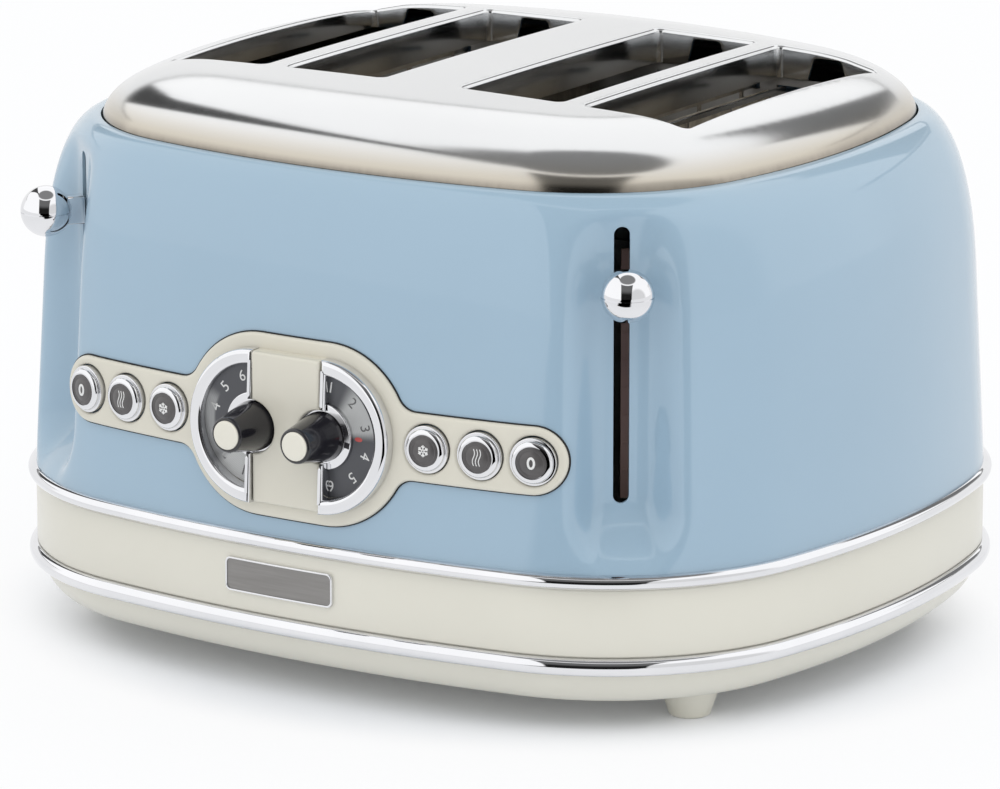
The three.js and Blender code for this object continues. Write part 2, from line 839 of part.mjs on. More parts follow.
// A half disc on the outer side of a dial's axis
function halfDisc(side, radius, start) {
  const shape = new THREE.Shape();
  const reach = Math.acos(start / radius);
  const middle = side > 0 ? 0 : Math.PI;
  shape.absarc(side * dialOffset, panelZ, radius, middle - reach, middle + reach, false);
  return shape;
}

// The middle strip between the dials, with its ends on the lobe's curve
function stripShape() {
  const half = dialOffset - stripSideGap;
  const shape = new THREE.Shape();
  shape.moveTo(-half, panelZ - stripHalfHeight);
  shape.lineTo(half, panelZ - stripHalfHeight);
  shape.lineTo(half, panelZ + stripHalfHeight);
  shape.lineTo(-half, panelZ + stripHalfHeight);
  return shape;
}

const plateOuter = plateGap + plateThickness;
const panelNear = bodyHalfDepth + plateThickness + overrun;
const panelFar = lipHalfDepth;

function makeControlPlate() {
  const sheet = frontSlab(plateShape(), panelNear, panelFar, plateSteps)
    .intersect(bodySpace(-plateOuter))
    .subtract(bodySpace(-plateGap));
  const strip = frontSlab(stripShape(), stripFace, panelFar);
  const tools = [
    bodySpace(-plateGap),
    frontSlab(windowShape(windowRadius), stripUnderside, panelFar),
  ];
  for (const side of [-1, 1]) {
    const x = side * dialOffset;
    tools.push(frontSlab(halfDisc(side, windowRadius, 0), panelNear, panelFar));
    tools.push(bar([x, -stripFace - overrun, panelZ], [x, -panelFar, panelZ],
      knobRadius + knobClearance, roundSteps));
  }
  const hole = buttonRadius + buttonHoleClearance;
  for (const place of buttonPlaces) tools.push(buttonHole(place, hole, smallSteps));
  return cut(sheet.add(strip), tools);
}

function makeDialFrame(side) {
  const x = side * dialOffset;
  const ring = frontSlab(halfDisc(side, frameRadius, 0), frameFace, panelFar)
    .subtract(frontSlab(halfDisc(side, windowRadius, -overrun), frameFace + overrun, panelFar - overrun));
  const barTop = Math.sqrt(windowRadius ** 2 - frameBar ** 2) + overrun / 2;
  const straight = sideBlock(side, [dialOffset, -frameFace, panelZ - barTop],
    [dialOffset + frameBar, -frameFace + frameBarThickness, panelZ + barTop]);
  const knobWay = bar([x, -frameFace - overrun, panelZ], [x, -panelFar, panelZ],
    knobRadius + knobClearance, roundSteps);
  return cut(ring.add(straight), [knobWay, bodySpace(-plateOuter - plateGap)]);
}

// The two windows' half discs and what joins them behind the strip
function windowShape(radius) {
  const half = Math.PI / 2;
  const shape = new THREE.Shape();
  shape.absarc(dialOffset, panelZ, radius, -half, half, false);
  shape.absarc(-dialOffset, panelZ, radius, half, half * 3, false);
  return shape;
}

function makeDialScale() {
  const sheet = frontSlab(windowShape(windowRadius - seatGap), scaleFace, scaleFace - scaleThickness);
  const tools = [-1, 1].map((side) => bar([side * dialOffset, -panelNear, panelZ],
    [side * dialOffset, -panelFar, panelZ], knobShaftRadius + knobClearance, smallSteps));
  return cut(sheet, [...tools, bodySpace(-plateGap)]);
}

function makeKnobSkirt(side) {
  const near = knobBaseY;
  const far = scaleFace + skirtLift;
  const x = side * dialOffset;
  const ring = turnedForward([[0, far], [skirtRadius, far], [skirtRadius, near], [0, near]], x, panelZ);
  const shaftHole = bar([x, -near - overrun, panelZ], [x, -far + overrun, panelZ],
    knobShaftRadius + seatGap, rodSides);
  const reach = skirtRadius - pointerLength;
  const pointer = sideBlock(side, [dialOffset + reach, -near - overrun, panelZ - pointerWidth / 2],
    [dialOffset + skirtRadius + overrun, -near + pointerDepth, panelZ + pointerWidth / 2]);
  return cut(ring, [shaftHole, pointer]);
}

function makeKnobBody(side) {
  const base = knobBaseY;
  const tip = base + knobLength;
  const back = boardReach + shaftInPot;
  return turnedForward([
    [0, back], [knobShaftRadius, back], [knobShaftRadius, base], [knobRadius, base],
    [knobRadius, base + knobFillet], [knobTipRadius, tip - knobFillet],
    [knobTipRadius - knobFillet * knobTipShare, tip],
    [knobCapRadius + seatGap, tip], [knobCapRadius + seatGap, tip - knobCapRecess], [0, tip - knobCapRecess],
  ], side * dialOffset, panelZ);
}

function makeKnobCap(side) {
  const far = knobBaseY + knobLength - knobCapRecess;
  const near = frontReach;
  return turnedForward([[0, far], [knobCapRadius, far], [knobCapRadius, near - knobCapProud / 2],
    [knobCapRadius * knobCapEdgeShare, near - knobCapProud * knobCapFallShare], [0, near]],
  side * dialOffset, panelZ);
}

// A group at a button's place, turned so that its own -Y points out of the body
function buttonGroup(place) {
  const group = new THREE.Group();
  group.position.set(place.x, place.y, panelZ);
  group.rotation.z = place.turn;
  toaster.add(group);
  return group;
}

const buttonFront = plateOuter + buttonProud;

function makeButton() {
  const near = buttonFront;
  const far = near - buttonDepth;
  const stem = far - buttonStemLength;
  const seat = near - buttonFaceDepth;
  const round = buttonRound * buttonRoundShare;
  return turnedForward([
    [0, stem], [buttonStemRadius, stem], [buttonStemRadius, far], [buttonRadius, far],
    [buttonRadius, near - buttonRound], [buttonRadius - round, near - round],
    [buttonRadius - buttonRound, near], [buttonFaceRadius + seatGap, near],
    [buttonFaceRadius + seatGap, seat], [0, seat],
  ], 0, 0, smallSteps);
}

function makeButtonFace() {
  const far = buttonFront - buttonFaceDepth;
  const near = buttonFront + buttonFaceProud;
  return turnedForward([[0, far], [buttonFaceRadius, far], [buttonFaceRadius, buttonFront],
    [buttonFaceRadius * buttonFaceEdgeShare, near - buttonFaceProud * buttonFaceFallShare],
    [0, near]], 0, 0, smallSteps);
}

const frameTop = flangeBottom - frameTopGap;
const guardTop = frameTop - guardTopGap;
const guardTravelOut = guardTravelIn * leverLift / leverDrop;
const cardOffset = slotWidth / 2 + cardStandOff + cardThickness / 2;
const guardOffset = slotWidth / 2 - guardStandOff;

// Rail heights of a guard that moves towards +X or -X, so that their links pass each other
function guardRails(way) {
  const step = way > 0 ? 0 : guardLevelStep;
  return { low: guardBottom + step, high: guardTop };
}

function frameShape() {
  const shape = new THREE.Shape();
  shape.moveTo(-frameHalfWidth, panFloor);
  shape.lineTo(frameHalfWidth, panFloor);
  shape.lineTo(frameHalfWidth, frameTop - frameTopChamfer);
  shape.lineTo(frameTopHalfWidth, frameTop);
  shape.lineTo(-frameTopHalfWidth, frameTop);
  shape.lineTo(-frameHalfWidth, frameTop - frameTopChamfer);
  shape.closePath();
  return shape;
}

// The windows in a frame that the guards' rails run in
function guardWindows(fromY, toY) {
  const tools = [];
  for (const slot of slots) {
    for (const way of [-1, 1]) {
      const rest = slot.x - way * guardOffset;
      const ends = [rest - way * guardTravelOut, rest + way * guardTravelIn];
      const grow = guardWire + guardWindowGap;
      const rails = guardRails(way);
      for (const z of [rails.low, rails.high]) {
        tools.push(block([Math.min(...ends) - grow, fromY, z - grow],
          [Math.max(...ends) + grow, toY, z + grow]));
      }
    }
  }
  return tools;
}

const rodY = frontFrameY - frameWall - rodStandOff;
const rodTop = frameTop - rodTopDrop;

function makeFrontFrame() {
  const near = -(frontFrameY - frameWall);
  const plate = frontSlab(frameShape(), near, -frontFrameY);
  const tools = guardWindows(frontFrameY - frameWall - overrun, frontFrameY + overrun);
  for (const slot of slots) {
    const half = restBarWidth / 2 + barSlotGap;
    const lowest = restZ - leverDrop - restBarHeight - overrun;
    tools.push(block([slot.x - half, frontFrameY - frameWall - overrun, lowest],
      [slot.x + half, frontFrameY + overrun, restZ + leverLift + overrun]));
  }
  const tabs = [-1, 1].map((side) => sideBlock(side,
    [rodOffset - sleeveRadius, rodY - sleeveRadius, rodTop],
    [rodOffset + sleeveRadius, frontFrameY - frameWall / 2, rodTop + rodTabWall]));
  return joined([cut(plate, tools), ...tabs]);
}

function makeBackFrame() {
  const plate = frontSlab(frameShape(), -backFrameY, -(backFrameY + frameWall));
  const tools = guardWindows(backFrameY - overrun, backFrameY + frameWall + overrun);
  for (const side of [-1, 1]) {
    tools.push(trayWindow(side, backFrameY - overrun, backFrameY + frameWall + overrun, trayFrameGap));
  }
  return cut(plate, tools);
}

// Cards stand outside the outer slots, inside the inner slots, and one between each pair of slots
const cardReach = slotPitch / 2 + cardOffset;
const pairMiddle = innerSlotOffset + slotPitch / 2;
const cardPlaces = [-1, 1]
  .flatMap((side) => [-cardReach, 0, cardReach].map((step) => side * (pairMiddle + step)))
  .sort((a, b) => a - b);

function makeHeaterCard(x) {
  return block([x - cardThickness / 2, frontFrameY + seatGap, cardBottom],
    [x + cardThickness / 2, backFrameY - seatGap, frameTop - cardTopGap]);
}

// A square wire along one axis, between two corners of its middle line
function wire(from, to, half) {
  return block(from.map((v) => v - half), to.map((v) => v + half));
}

// Two wire guards that move the same way, joined by a link behind the back frame
function makeGuards(side, way) {
  const linkY = backFrameY + frameWall + guardLinkReach;
  const rails = guardRails(way);
  const pieces = [];
  const planes = slots.filter((slot) => slot.side === side).map((slot) => slot.x - way * guardOffset);
  const front = frontFrameY - frameWall + seatGap + guardWire;
  const back = backFrameY + frameWall - seatGap - guardWire;
  const span = (slotLength - guardEndMargin * 2) / (guardUprights - 1);
  for (const x of planes) {
    pieces.push(wire([x, front, rails.high], [x, back, rails.high], guardWire));
    pieces.push(wire([x, front, rails.low], [x, linkY, rails.low], guardWire));
    for (let i = 0; i < guardUprights; i += 1) {
      const y = slotFront + guardEndMargin + span * i;
      pieces.push(wire([x, y, rails.low], [x, y, rails.high], guardUpright));
    }
  }
  pieces.push(wire([Math.min(...planes), linkY, rails.low],
    [Math.max(...planes), linkY, rails.low], guardWire));
  return joined(pieces);
}

const carriagePlateY = frontFrameY - frameWall - carriagePlateGap;
const sleeveTop = carriageTop - carriagePlateWall;

function makeCarriage(side) {
  const own = slots.filter((slot) => slot.side === side);
  const inner = Math.min(...own.map((slot) => Math.abs(slot.x))) - carriageSideMargin;
  const outer = Math.max(...own.map((slot) => Math.abs(slot.x))) + carriageSideMargin;
  const plateBottom = restZ - restBarHeight;
  const parts = [sideBlock(side, [inner, carriagePlateY - carriagePlateWall, plateBottom],
    [outer, carriagePlateY, carriageTop])];
  for (const slot of own) {
    parts.push(block([slot.x - restBarWidth / 2, carriagePlateY - carriagePlateWall / 2, plateBottom],
      [slot.x + restBarWidth / 2, backFrameY - restEndGap, restZ - restFingerSize / 2]));
    for (let i = 0; i < restFingers; i += 1) {
      const y = slotFront + slotLength * (i + 0.5) / restFingers;
      parts.push(block([slot.x - restFingerWidth / 2, y - restFingerSize / 2, restZ - restFingerSize],
        [slot.x + restFingerWidth / 2, y + restFingerSize / 2, restZ]));
    }
  }
  const sleeveBottom = sleeveTop - sleeveHeight;
  parts.push(bar([side * rodOffset, rodY, sleeveBottom], [side * rodOffset, rodY, sleeveTop],
    sleeveRadius, sleeveSides));
  parts.push(sideBlock(side, [rodOffset - sleeveRadius / 2, rodY, sleeveBottom],
    [rodOffset + sleeveRadius / 2, carriagePlateY - carriagePlateWall / 2, sleeveTop]));
  const rodHole = bar([side * rodOffset, rodY, sleeveBottom - overrun],
    [side * rodOffset, rodY, sleeveTop + overrun], rodRadius + seatGap, rodSides);
  return cut(joined(parts), [rodHole]);
}

// A box in a lever's own directions: across its slot, out along its arm, and up
function leverBlock(side, acrossHalf, from, to, low, high) {
  const { out, foot } = recessFrame(side);
  const geometry = new THREE.BoxGeometry(acrossHalf * 2, to - from, high - low);
  geometry.translate(0, -(from + to) / 2, (low + high) / 2);
  geometry.rotateZ(Math.atan2(out[0], -out[1]));
  geometry.translate(foot[0], foot[1], 0);
  return solid(geometry);
}

function ballCentre(side) {
  const { out, foot } = recessFrame(side);
  return [foot[0] + out[0] * leverBallReach, foot[1] + out[1] * leverBallReach];
}

const neckLow = leverBallZ - leverNeckHeight / 2;
const neckHigh = leverBallZ + leverNeckHeight / 2;

function makeLeverBall(side) {
  const groove = leverGroove / 2;
  const deep = leverBallRadius - leverGroove;
  const arc = (from, to) => Array.from({ length: ballSteps + 1 }, (_, i) => {
    const angle = THREE.MathUtils.lerp(from, to, i / ballSteps);
    return [leverBallRadius * Math.cos(angle), leverBallZ + leverBallRadius * Math.sin(angle)];
  });
  const lift = Math.asin(groove / leverBallRadius);
  const [x, y] = ballCentre(side);
  const lower = arc(-Math.PI / 2, -lift);
  const upper = arc(lift, Math.PI / 2);
  lower[0][0] = 0;
  upper[upper.length - 1][0] = 0;
  const ball = turnedUpright([
    ...lower, [deep, leverBallZ - groove], [deep, leverBallZ + groove], ...upper,
  ], x, y, smallSteps);
  return ball.subtract(leverBlock(side, leverNeckWidth / 2 + seatGap, 0,
    leverBallReach - leverBallRadius / 2, neckLow - seatGap, neckHigh + seatGap));
}

function makeLeverArm(side) {
  const neck = leverBlock(side, leverNeckWidth / 2, leverNeckStandOff,
    leverBallReach - leverBallRadius / 2 - seatGap, neckLow, neckHigh);
  const arm = leverBlock(side, leverArmWidth / 2, -leverArmInner,
    leverNeckStandOff + overrun, neckLow + leverArmTrim, neckHigh - leverArmTrim);
  const plateEdge = carriagePlateY - carriagePlateWall - seatGap;
  const behindPlate = block([-bodyHalfWidth, plateEdge, 0], [bodyHalfWidth, 0, crownZ]);
  return cut(joined([neck, arm]), [behindPlate]);
}

function makeGuideRod(side) {
  return bar([side * rodOffset, rodY, panFloor], [side * rodOffset, rodY, rodTop], rodRadius, rodSides);
}

// A helix that climbs an upright axis
class SpringCurve extends THREE.Curve {
  constructor(x, y, bottom, top) {
    super();
    Object.assign(this, { x, y, bottom, top });
  }

  getPoint(t, target = new THREE.Vector3()) {
    const angle = t * springTurns * Math.PI * 2;
    const x = this.x + springCoilRadius * Math.cos(angle);
    const y = this.y + springCoilRadius * Math.sin(angle);
    return target.set(x, y, THREE.MathUtils.lerp(this.bottom, this.top, t));
  }
}

const springBottom = panFloor + springWire + seatGap;
const springTop = sleeveTop - sleeveHeight - springWire - seatGap;

function makeLiftSpring(side) {
  const section = Array.from({ length: wireSides }, (_, i) => {
    const angle = i * Math.PI * 2 / wireSides;
    return new THREE.Vector2(springWire * Math.cos(angle), springWire * Math.sin(angle));
  });
  const geometry = new THREE.ExtrudeGeometry(new THREE.Shape(section), {
    steps: springTurns * springSteps, bevelEnabled: false,
    extrudePath: new SpringCurve(side * rodOffset, rodY, springBottom, springTop),
  });
  return solid(geometry);
}

// Least clear gap between one turn of a spring and the next
const springGap = (springTop - springBottom) / springTurns - springWire * 2;
console.log(`lift spring: least gap between turns ${springGap.toFixed(2)} mm`);

function makeLatchMagnet(side) {
  const back = frontFrameY - frameWall - seatGap;
  return sideBlock(side, [magnetOffset - magnetWidth / 2, back - magnetDepth, panFloor],
    [magnetOffset + magnetWidth / 2, back, panFloor + magnetHeight]);
}

function makeCrumbTray(side) {
  const floorTop = trayFloorZ + trayWall;
  const rim = trayFloorZ + trayDepth;
  const back = frontPoint(bodyPlan, trayOuter);
  const tubEnd = -back.y - trayHandleDepth / 2;
  const tub = sideBlock(side, [trayInner + trayWall, -trayFrontY, trayFloorZ],
    [trayOuter - trayWall, tubEnd, rim]);
  const hollow = sideBlock(side, [trayInner + trayWall * 2, -trayFrontY + trayWall, floorTop],
    [trayOuter - trayWall * 2, tubEnd - trayEndWall, rim + overrun]);
  const face = loft([ringAt(bodyPlan, 0, trayFloorZ), ringAt(bodyPlan, 0, rim + trayWall)])
    .subtract(loft([ringAt(bodyPlan, trayHandleDepth, trayFloorZ - overrun),
      ringAt(bodyPlan, trayHandleDepth, rim + overrun)]))
    .intersect(trayWindow(side, backFrameY, bodyHalfDepth + overrun, 0));
  const middle = (trayInner + trayOuter) / 2;
  const pull = sideBlock(side, [middle - trayPullWidth / 2, -back.y - trayHandleDepth, rim - trayPullHeight],
    [middle + trayPullWidth / 2, -frontPoint(bodyPlan, middle).y + trayPullProud, rim]);
  const bridge = sideBlock(side, [trayInner + trayWall, tubEnd - trayBridge, trayFloorZ],
    [trayOuter - trayWall, -frontPoint(bodyPlan, trayInner).y - trayHandleDepth / 2, floorTop])
    .intersect(loft([ringAt(bodyPlan, trayHandleDepth / 2, trayFloorZ - overrun),
      ringAt(bodyPlan, trayHandleDepth / 2, rim + overrun)]));
  return joined([cut(tub, [hollow]), face, pull, bridge]);
}

function makeControlBoard() {
  const board = block([-boardHalfWidth, -boardReach, panelZ - boardHeight / 2],
    [boardHalfWidth, -boardReach + boardWall, panelZ + boardHeight / 2]);
  const parts = [board];
  const tools = [];
  for (const side of [-1, 1]) {
    const x = side * dialOffset;
    const potFront = -boardReach - potDepth;
    parts.push(bar([x, potFront, panelZ], [x, -boardReach + boardWall / 2, panelZ], potRadius, sleeveSides));
    tools.push(bar([x, potFront - overrun, panelZ], [x, -boardReach - boardWall, panelZ],
      knobShaftRadius + seatGap, rodSides));
  }
  return cut(joined(parts), tools);
}

addPiece('body_shell', makeBodyShell(), paint);
addPiece('top_cap', makeTopCap(), stainless);
addPiece('lower_trim', makeTrim(panTop, lowerTrimHeight), chrome);
addPiece('upper_trim', makeTrim(bandTop, upperTrimHeight), chrome);
addPiece('base_band', makeBaseBand(), cream);
addPiece('base_pan', makeBasePan(), cream);
for (const [place, sy] of [['front', -1], ['back', 1]]) {
  for (const [hand, sx] of [['left', -1], ['right', 1]]) {
    addPiece(`foot_${place}_${hand}`, makeFoot(sx * footOffsetX, sy * footOffsetY), cream);
  }
}
addPiece('cord_gland', makeCordGland(), rubber);
addPiece('control_plate', makeControlPlate(), cream);
addPiece('dial_scale', makeDialScale(), darkFace);
addPiece('control_board', makeControlBoard(), boardGreen);
addPiece('inner_frame_front', makeFrontFrame(), steel);
addPiece('inner_frame_back', makeBackFrame(), steel);
cardPlaces.forEach((x, i) => addPiece(`heater_card_${i + 1}`, makeHeaterCard(x), mica));

for (const [hand, side] of [['left', -1], ['right', 1]]) {
  addPiece(`dial_frame_${hand}`, makeDialFrame(side), chrome);
  addPiece(`knob_skirt_${hand}`, makeKnobSkirt(side), chrome);
  addPiece(`knob_body_${hand}`, makeKnobBody(side), blackGloss);
  addPiece(`knob_cap_${hand}`, makeKnobCap(side), cream);
  addPiece(`lever_ball_${hand}`, makeLeverBall(side), chrome);
  addPiece(`lever_arm_${hand}`, makeLeverArm(side), chrome);
  addPiece(`bread_carriage_${hand}`, makeCarriage(side), steel);
  addPiece(`lift_spring_${hand}`, makeLiftSpring(side), steel);
  addPiece(`guide_rod_${hand}`, makeGuideRod(side), steel);
  addPiece(`latch_magnet_${hand}`, makeLatchMagnet(side), steel);
  addPiece(`guards_${hand}_a`, makeGuards(side, 1), steel);
  addPiece(`guards_${hand}_b`, makeGuards(side, -1), steel);
  addPiece(`crumb_tray_${hand}`, makeCrumbTray(side), steel);
}

buttonPlaces.forEach((place, i) => {
  const group = buttonGroup(place);
  addPiece(`button_${i + 1}`, makeButton(), chrome, group);
  addPiece(`button_face_${i + 1}`, makeButtonFace(), darkFace, group);
});

export default toaster;
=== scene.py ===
"""Looks of the four-slot toaster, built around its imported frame.

Metres, +Z up, the front faces -Y. Left and right are as seen from the front.
Pieces are drawn round the middle of the body, which lies CENTRE_Y behind the frame's origin.
"""
import math

import bmesh
import bpy
import numpy as np
from mathutils import Matrix, Vector
from mathutils.geometry import delaunay_2d_cdt


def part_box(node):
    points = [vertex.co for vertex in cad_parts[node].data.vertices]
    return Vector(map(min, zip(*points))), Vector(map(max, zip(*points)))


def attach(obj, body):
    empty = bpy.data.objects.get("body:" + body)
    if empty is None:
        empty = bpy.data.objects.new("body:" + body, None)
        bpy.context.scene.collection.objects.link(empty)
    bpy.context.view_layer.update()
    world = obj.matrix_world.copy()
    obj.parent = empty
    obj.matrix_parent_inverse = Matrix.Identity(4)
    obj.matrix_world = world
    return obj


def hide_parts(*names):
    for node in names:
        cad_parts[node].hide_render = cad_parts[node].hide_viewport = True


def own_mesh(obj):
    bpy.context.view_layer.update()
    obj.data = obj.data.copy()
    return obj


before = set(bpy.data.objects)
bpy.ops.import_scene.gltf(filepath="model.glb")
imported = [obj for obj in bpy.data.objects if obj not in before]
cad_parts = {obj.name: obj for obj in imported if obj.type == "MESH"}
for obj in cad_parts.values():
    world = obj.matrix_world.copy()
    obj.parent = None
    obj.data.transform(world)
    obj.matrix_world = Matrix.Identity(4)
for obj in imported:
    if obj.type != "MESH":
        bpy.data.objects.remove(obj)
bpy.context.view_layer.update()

# Photograph
IMAGE_WIDTH = 1000
SENSOR_WIDTH = 36.0
FOCAL_PIXELS = 6755.96
CAMERA_AZIMUTH = math.radians(33.115)
CAMERA_ELEVATION = math.radians(14.032)
CAMERA_DISTANCE = 2.48073
CLIP_END = 20.0

# What the frame gives
SHELL_LOW, SHELL_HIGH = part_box("body_shell")
CAP_LOW, CAP_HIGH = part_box("top_cap")
UPPER_TRIM_LOW, UPPER_TRIM_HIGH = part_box("upper_trim")
LOWER_TRIM_LOW, LOWER_TRIM_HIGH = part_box("lower_trim")
BAND_LOW, BAND_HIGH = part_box("base_band")
PAN_LOW, PAN_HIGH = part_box("base_pan")
PLATE_LOW, PLATE_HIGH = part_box("control_plate")
CENTRE_Y = (UPPER_TRIM_LOW.y + UPPER_TRIM_HIGH.y) / 2
AIM = Vector((-0.00116, CENTRE_Y - 0.00504, 0.08286))
SHELL_BOTTOM = SHELL_LOW.z
LIP_Z = SHELL_HIGH.z
CROWN_Z = CAP_HIGH.z
PANEL_Z = (PLATE_LOW.z + PLATE_HIGH.z) / 2

# Sides, by the names that the nodes carry
HANDS = (("left", -1), ("right", 1))

# Outlines: radii of the front, side and corner arcs, and steps along a quarter's side, corner and front
BODY_RADII = (0.548, 0.315, 0.0867)
LIP_RADII = (0.394, 0.268, 0.0705)
SHELL_STEPS = (10, 56, 16)
CAP_STEPS = (30, 56, 44)
BASE_STEPS = (24, 40, 40)

# Walls
SHELL_WALL = 0.0012
CAP_WALL = 0.0012
BAND_WALL = 0.0025
PAN_WALL = 0.0026
PAN_FLOOR = PAN_LOW.z + PAN_WALL

# Body side: how much of the turn-in is lean, and its shoulder
SHOULDER_HEIGHT = 0.0555
SHOULDER_POWER = 2.25
LEAN_SHARE = 0.233
FRONT_LEAN_SHARE = 0.4

# Cap: gap to the body's lip, rim and crown
LIP_GAP = 0.0005
RIM_WIDTH = 0.042
RIM_HEIGHT = 0.0189
RIM_POWER = 2.1
CROWN_SIDE_FALL = 0.0033
CROWN_END_FALL = 0.0015
SKIRT_DEPTH = 0.0034
CROWN_START = 0.0125
CROWN_SPACING = 0.0026

# Bread slots
SLOT_XS = (-0.08955, -0.03775, 0.03775, 0.08955)
SLOT_HALF_WIDTH = 0.02105
SLOT_HALF_LENGTH = 0.0665
SLOT_SET_BACK = 0.0085
SLOT_CORNER = 0.0025
SLOT_ROLL = 0.0015
FLANGE_DEPTH = 0.010
NOTCH_HALF = 0.0085
NOTCH_TOP_HALF = 0.0062
NOTCH_TOP_DROP = 0.0021
NOTCH_ROUND = 0.0018
NOTCH_LEAN = 0.2

# Lever recesses
RECESS_ANGLE = math.radians(40)
RECESS_FOOT = (0.1145, 0.1058)
RECESS_FLOOR_HALF = 0.007
RECESS_HALF = 0.0235
RECESS_BOTTOM = 0.058
RECESS_BOTTOM_RAMP = 0.0235
RECESS_TOP = 0.1935
RECESS_TOP_RAMP = 0.0165
LEVER_SLOT_HALF = 0.0028
LEVER_SLOT_BOTTOM = 0.081
LEVER_SLOT_TOP = 0.179

# Levers
BALL_RADIUS = 0.0093
BALL_REACH = 0.0143
BALL_Z = 0.1578
BALL_GROOVE = 0.0005
NECK_HALF_HEIGHT = 0.0052
NECK_HALF_WIDTH = 0.003
NECK_START = 0.0008
ARM_HALF_WIDTH = 0.0016

# Control panel
PLATE_GAP = 0.0003
PLATE_THICKNESS = 0.0016
PLATE_SPACING = 0.004
DIAL_X = 0.0145
LOBE_RADIUS = 0.0325
ARM_HALF = 0.012
ARM_REACH = 0.1064
ARM_FILLET = 0.008
WINDOW_RADIUS = 0.0222
FRAME_RADIUS = 0.0275
FRAME_BAR = 0.002
FRAME_FACE = 0.1454
STRIP_FACE = 0.1446
STRIP_BACK = 0.1431
STRIP_HALF_HEIGHT = 0.0272
STRIP_SIDE_GAP = 0.0003
SCALE_FACE = 0.1413
SCALE_THICKNESS = 0.0011

# Knobs
SKIRT_RADIUS = 0.012
SKIRT_LIFT = 0.0004
SKIRT_THICKNESS = 0.001
KNOB_RADIUS = 0.009
KNOB_TIP_RADIUS = 0.0064
KNOB_LENGTH = 0.017
KNOB_CAP_RADIUS = 0.0052
KNOB_CAP_RECESS = 0.001
KNOB_CAP_PROUD = 0.0006
KNOB_CLEARANCE = 0.0006
KNOB_AXIS = (0.0, -1.0, 0.0)
SKIRT_BACK = SCALE_FACE + SKIRT_LIFT
KNOB_BASE = SKIRT_BACK + SKIRT_THICKNESS
KNOB_TIP = KNOB_BASE + KNOB_LENGTH
KNOB_CAP_BACK = KNOB_TIP - KNOB_CAP_RECESS

# Buttons
BUTTON_XS = (-0.0947, -0.0752, -0.0549, 0.0549, 0.0752, 0.0947)
BUTTON_SIGNS = ("zero", "heat", "flake", "flake", "heat", "zero")
BUTTON_RADIUS = 0.008
BUTTON_PROUD = 0.0025
BUTTON_SKIRT_RADIUS = 0.0085
BUTTON_SKIRT_DEPTH = 0.0032
BUTTON_SKIRT_PROUD = 0.0007
BUTTON_RING_RADIUS = 0.0076
BUTTON_FACE_RADIUS = 0.0056
BUTTON_FACE_PROUD = 0.0002
BUTTON_FACE_DEPTH = 0.001
BUTTON_FACE_GROOVES = (0.0049, 0.0043)
BUTTON_GROOVE = 0.00012
BUTTON_HOLE_GAP = 0.00085
BUTTON_STEM_RADIUS = 0.0024
BUTTON_STEM_LENGTH = 0.008

# Base
TRIM_SIDES = 28
BAND_EDGE = 0.0008
PAN_INSET = 0.0006
PAN_BOTTOM_INSET = 0.0128
VENT_COUNT = 4
VENT_PITCH = 0.012
VENT_HALF_LENGTH = 0.023
VENT_HALF_WIDTH = 0.002
TRAY_LOW, TRAY_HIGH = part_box("crumb_tray_right")
TRAY_INNER, TRAY_OUTER = TRAY_LOW.x, TRAY_HIGH.x
TRAY_GAP = 0.0005

# Gaps between pieces that touch
SEAT_GAP = 0.0003
BED_GAP = SEAT_GAP / 3
HAIR_GAP = SEAT_GAP / 6
SKIN_GAP = SEAT_GAP / 10

# Fine edges and prints
PLATE_EDGE = 0.0011
# A dark strip round the plate's foot: painted shade for the shadow line under the plate's edge
SHADOW_LINE_PROUD = 0.00042
SHADOW_LINE_RISE = 0.0003
STRIP_EDGE = 0.0009
STRIP_CORNER = 0.0008
FRAME_EDGE = 0.0016
SKIRT_EDGE = 0.0005
SHAFT_RADIUS = 0.003
BOARD_FRONT = 0.1049
SHAFT_IN_POT = 0.0064
KNOB_EDGE = 0.001
KNOB_FOOT_EDGE = 0.0006
KNOB_CAP_CROWN = 0.0006
KNOB_CAP_POWER = 1.6
POINTER_ANGLE = -10
POINTER_RADIUS = 0.0106
POINTER_HALF = 0.0011
POINTER_SINK = 0.0002
POINTER_RISE = 0.0001
BUTTON_ROUND_WIDTH = 0.0018
BUTTON_ROUND_DEPTH = 0.0014
BUTTON_UNDERCUT = 0.0003
BUTTON_ROUND_START = -math.pi / 6
BUTTON_GROOVE_SHAPE = ((1.5, 0.0), (0.5, 1.0), (-0.5, 1.0), (-1.5, 0.0))
BUTTON_FACE_CROWN = 0.0003
ZERO_HALF_WIDTH = 0.0011
ZERO_HALF_HEIGHT = 0.0018
ZERO_STROKE = 0.00046
HEAT_HALF_HEIGHT = 0.003
HEAT_PITCH = 0.00115
HEAT_WAVE = 0.00042
HEAT_STROKE = 0.00021
FLAKE_ARMS = 6
FLAKE_REACH = 0.0021
FLAKE_STROKE = 0.00028
FLAKE_TWIG = 0.0008
FLAKE_TWIG_START = 0.0012
FLAKE_TWIG_TURN = 0.9
SIGN_SINK = 0.0001
NUMBER_COUNT = 6
NUMBER_SIZE = 0.0056
NUMBER_RISE = 0.00008
PRINT_RISE = 0.00005
RED_REACH = 0.0145
RED_ANGLE = math.radians(2.3)
RED_HALF = (0.0016, 0.0008)
NUMBER_RADIUS = 0.0178
LEFT_FIRST, LEFT_STEP = 252.0, -28.6
RIGHT_FIRST, RIGHT_STEP = 80.5, -32.4
NECK_EDGE = 0.001
ARM_EDGE = 0.0004
ARM_INNER = 0.046
ARM_TRIM = 0.001

# Lift springs
SPRING_WIRE = 0.0006
SPRING_TURNS = 8
SPRING_STEPS = 24

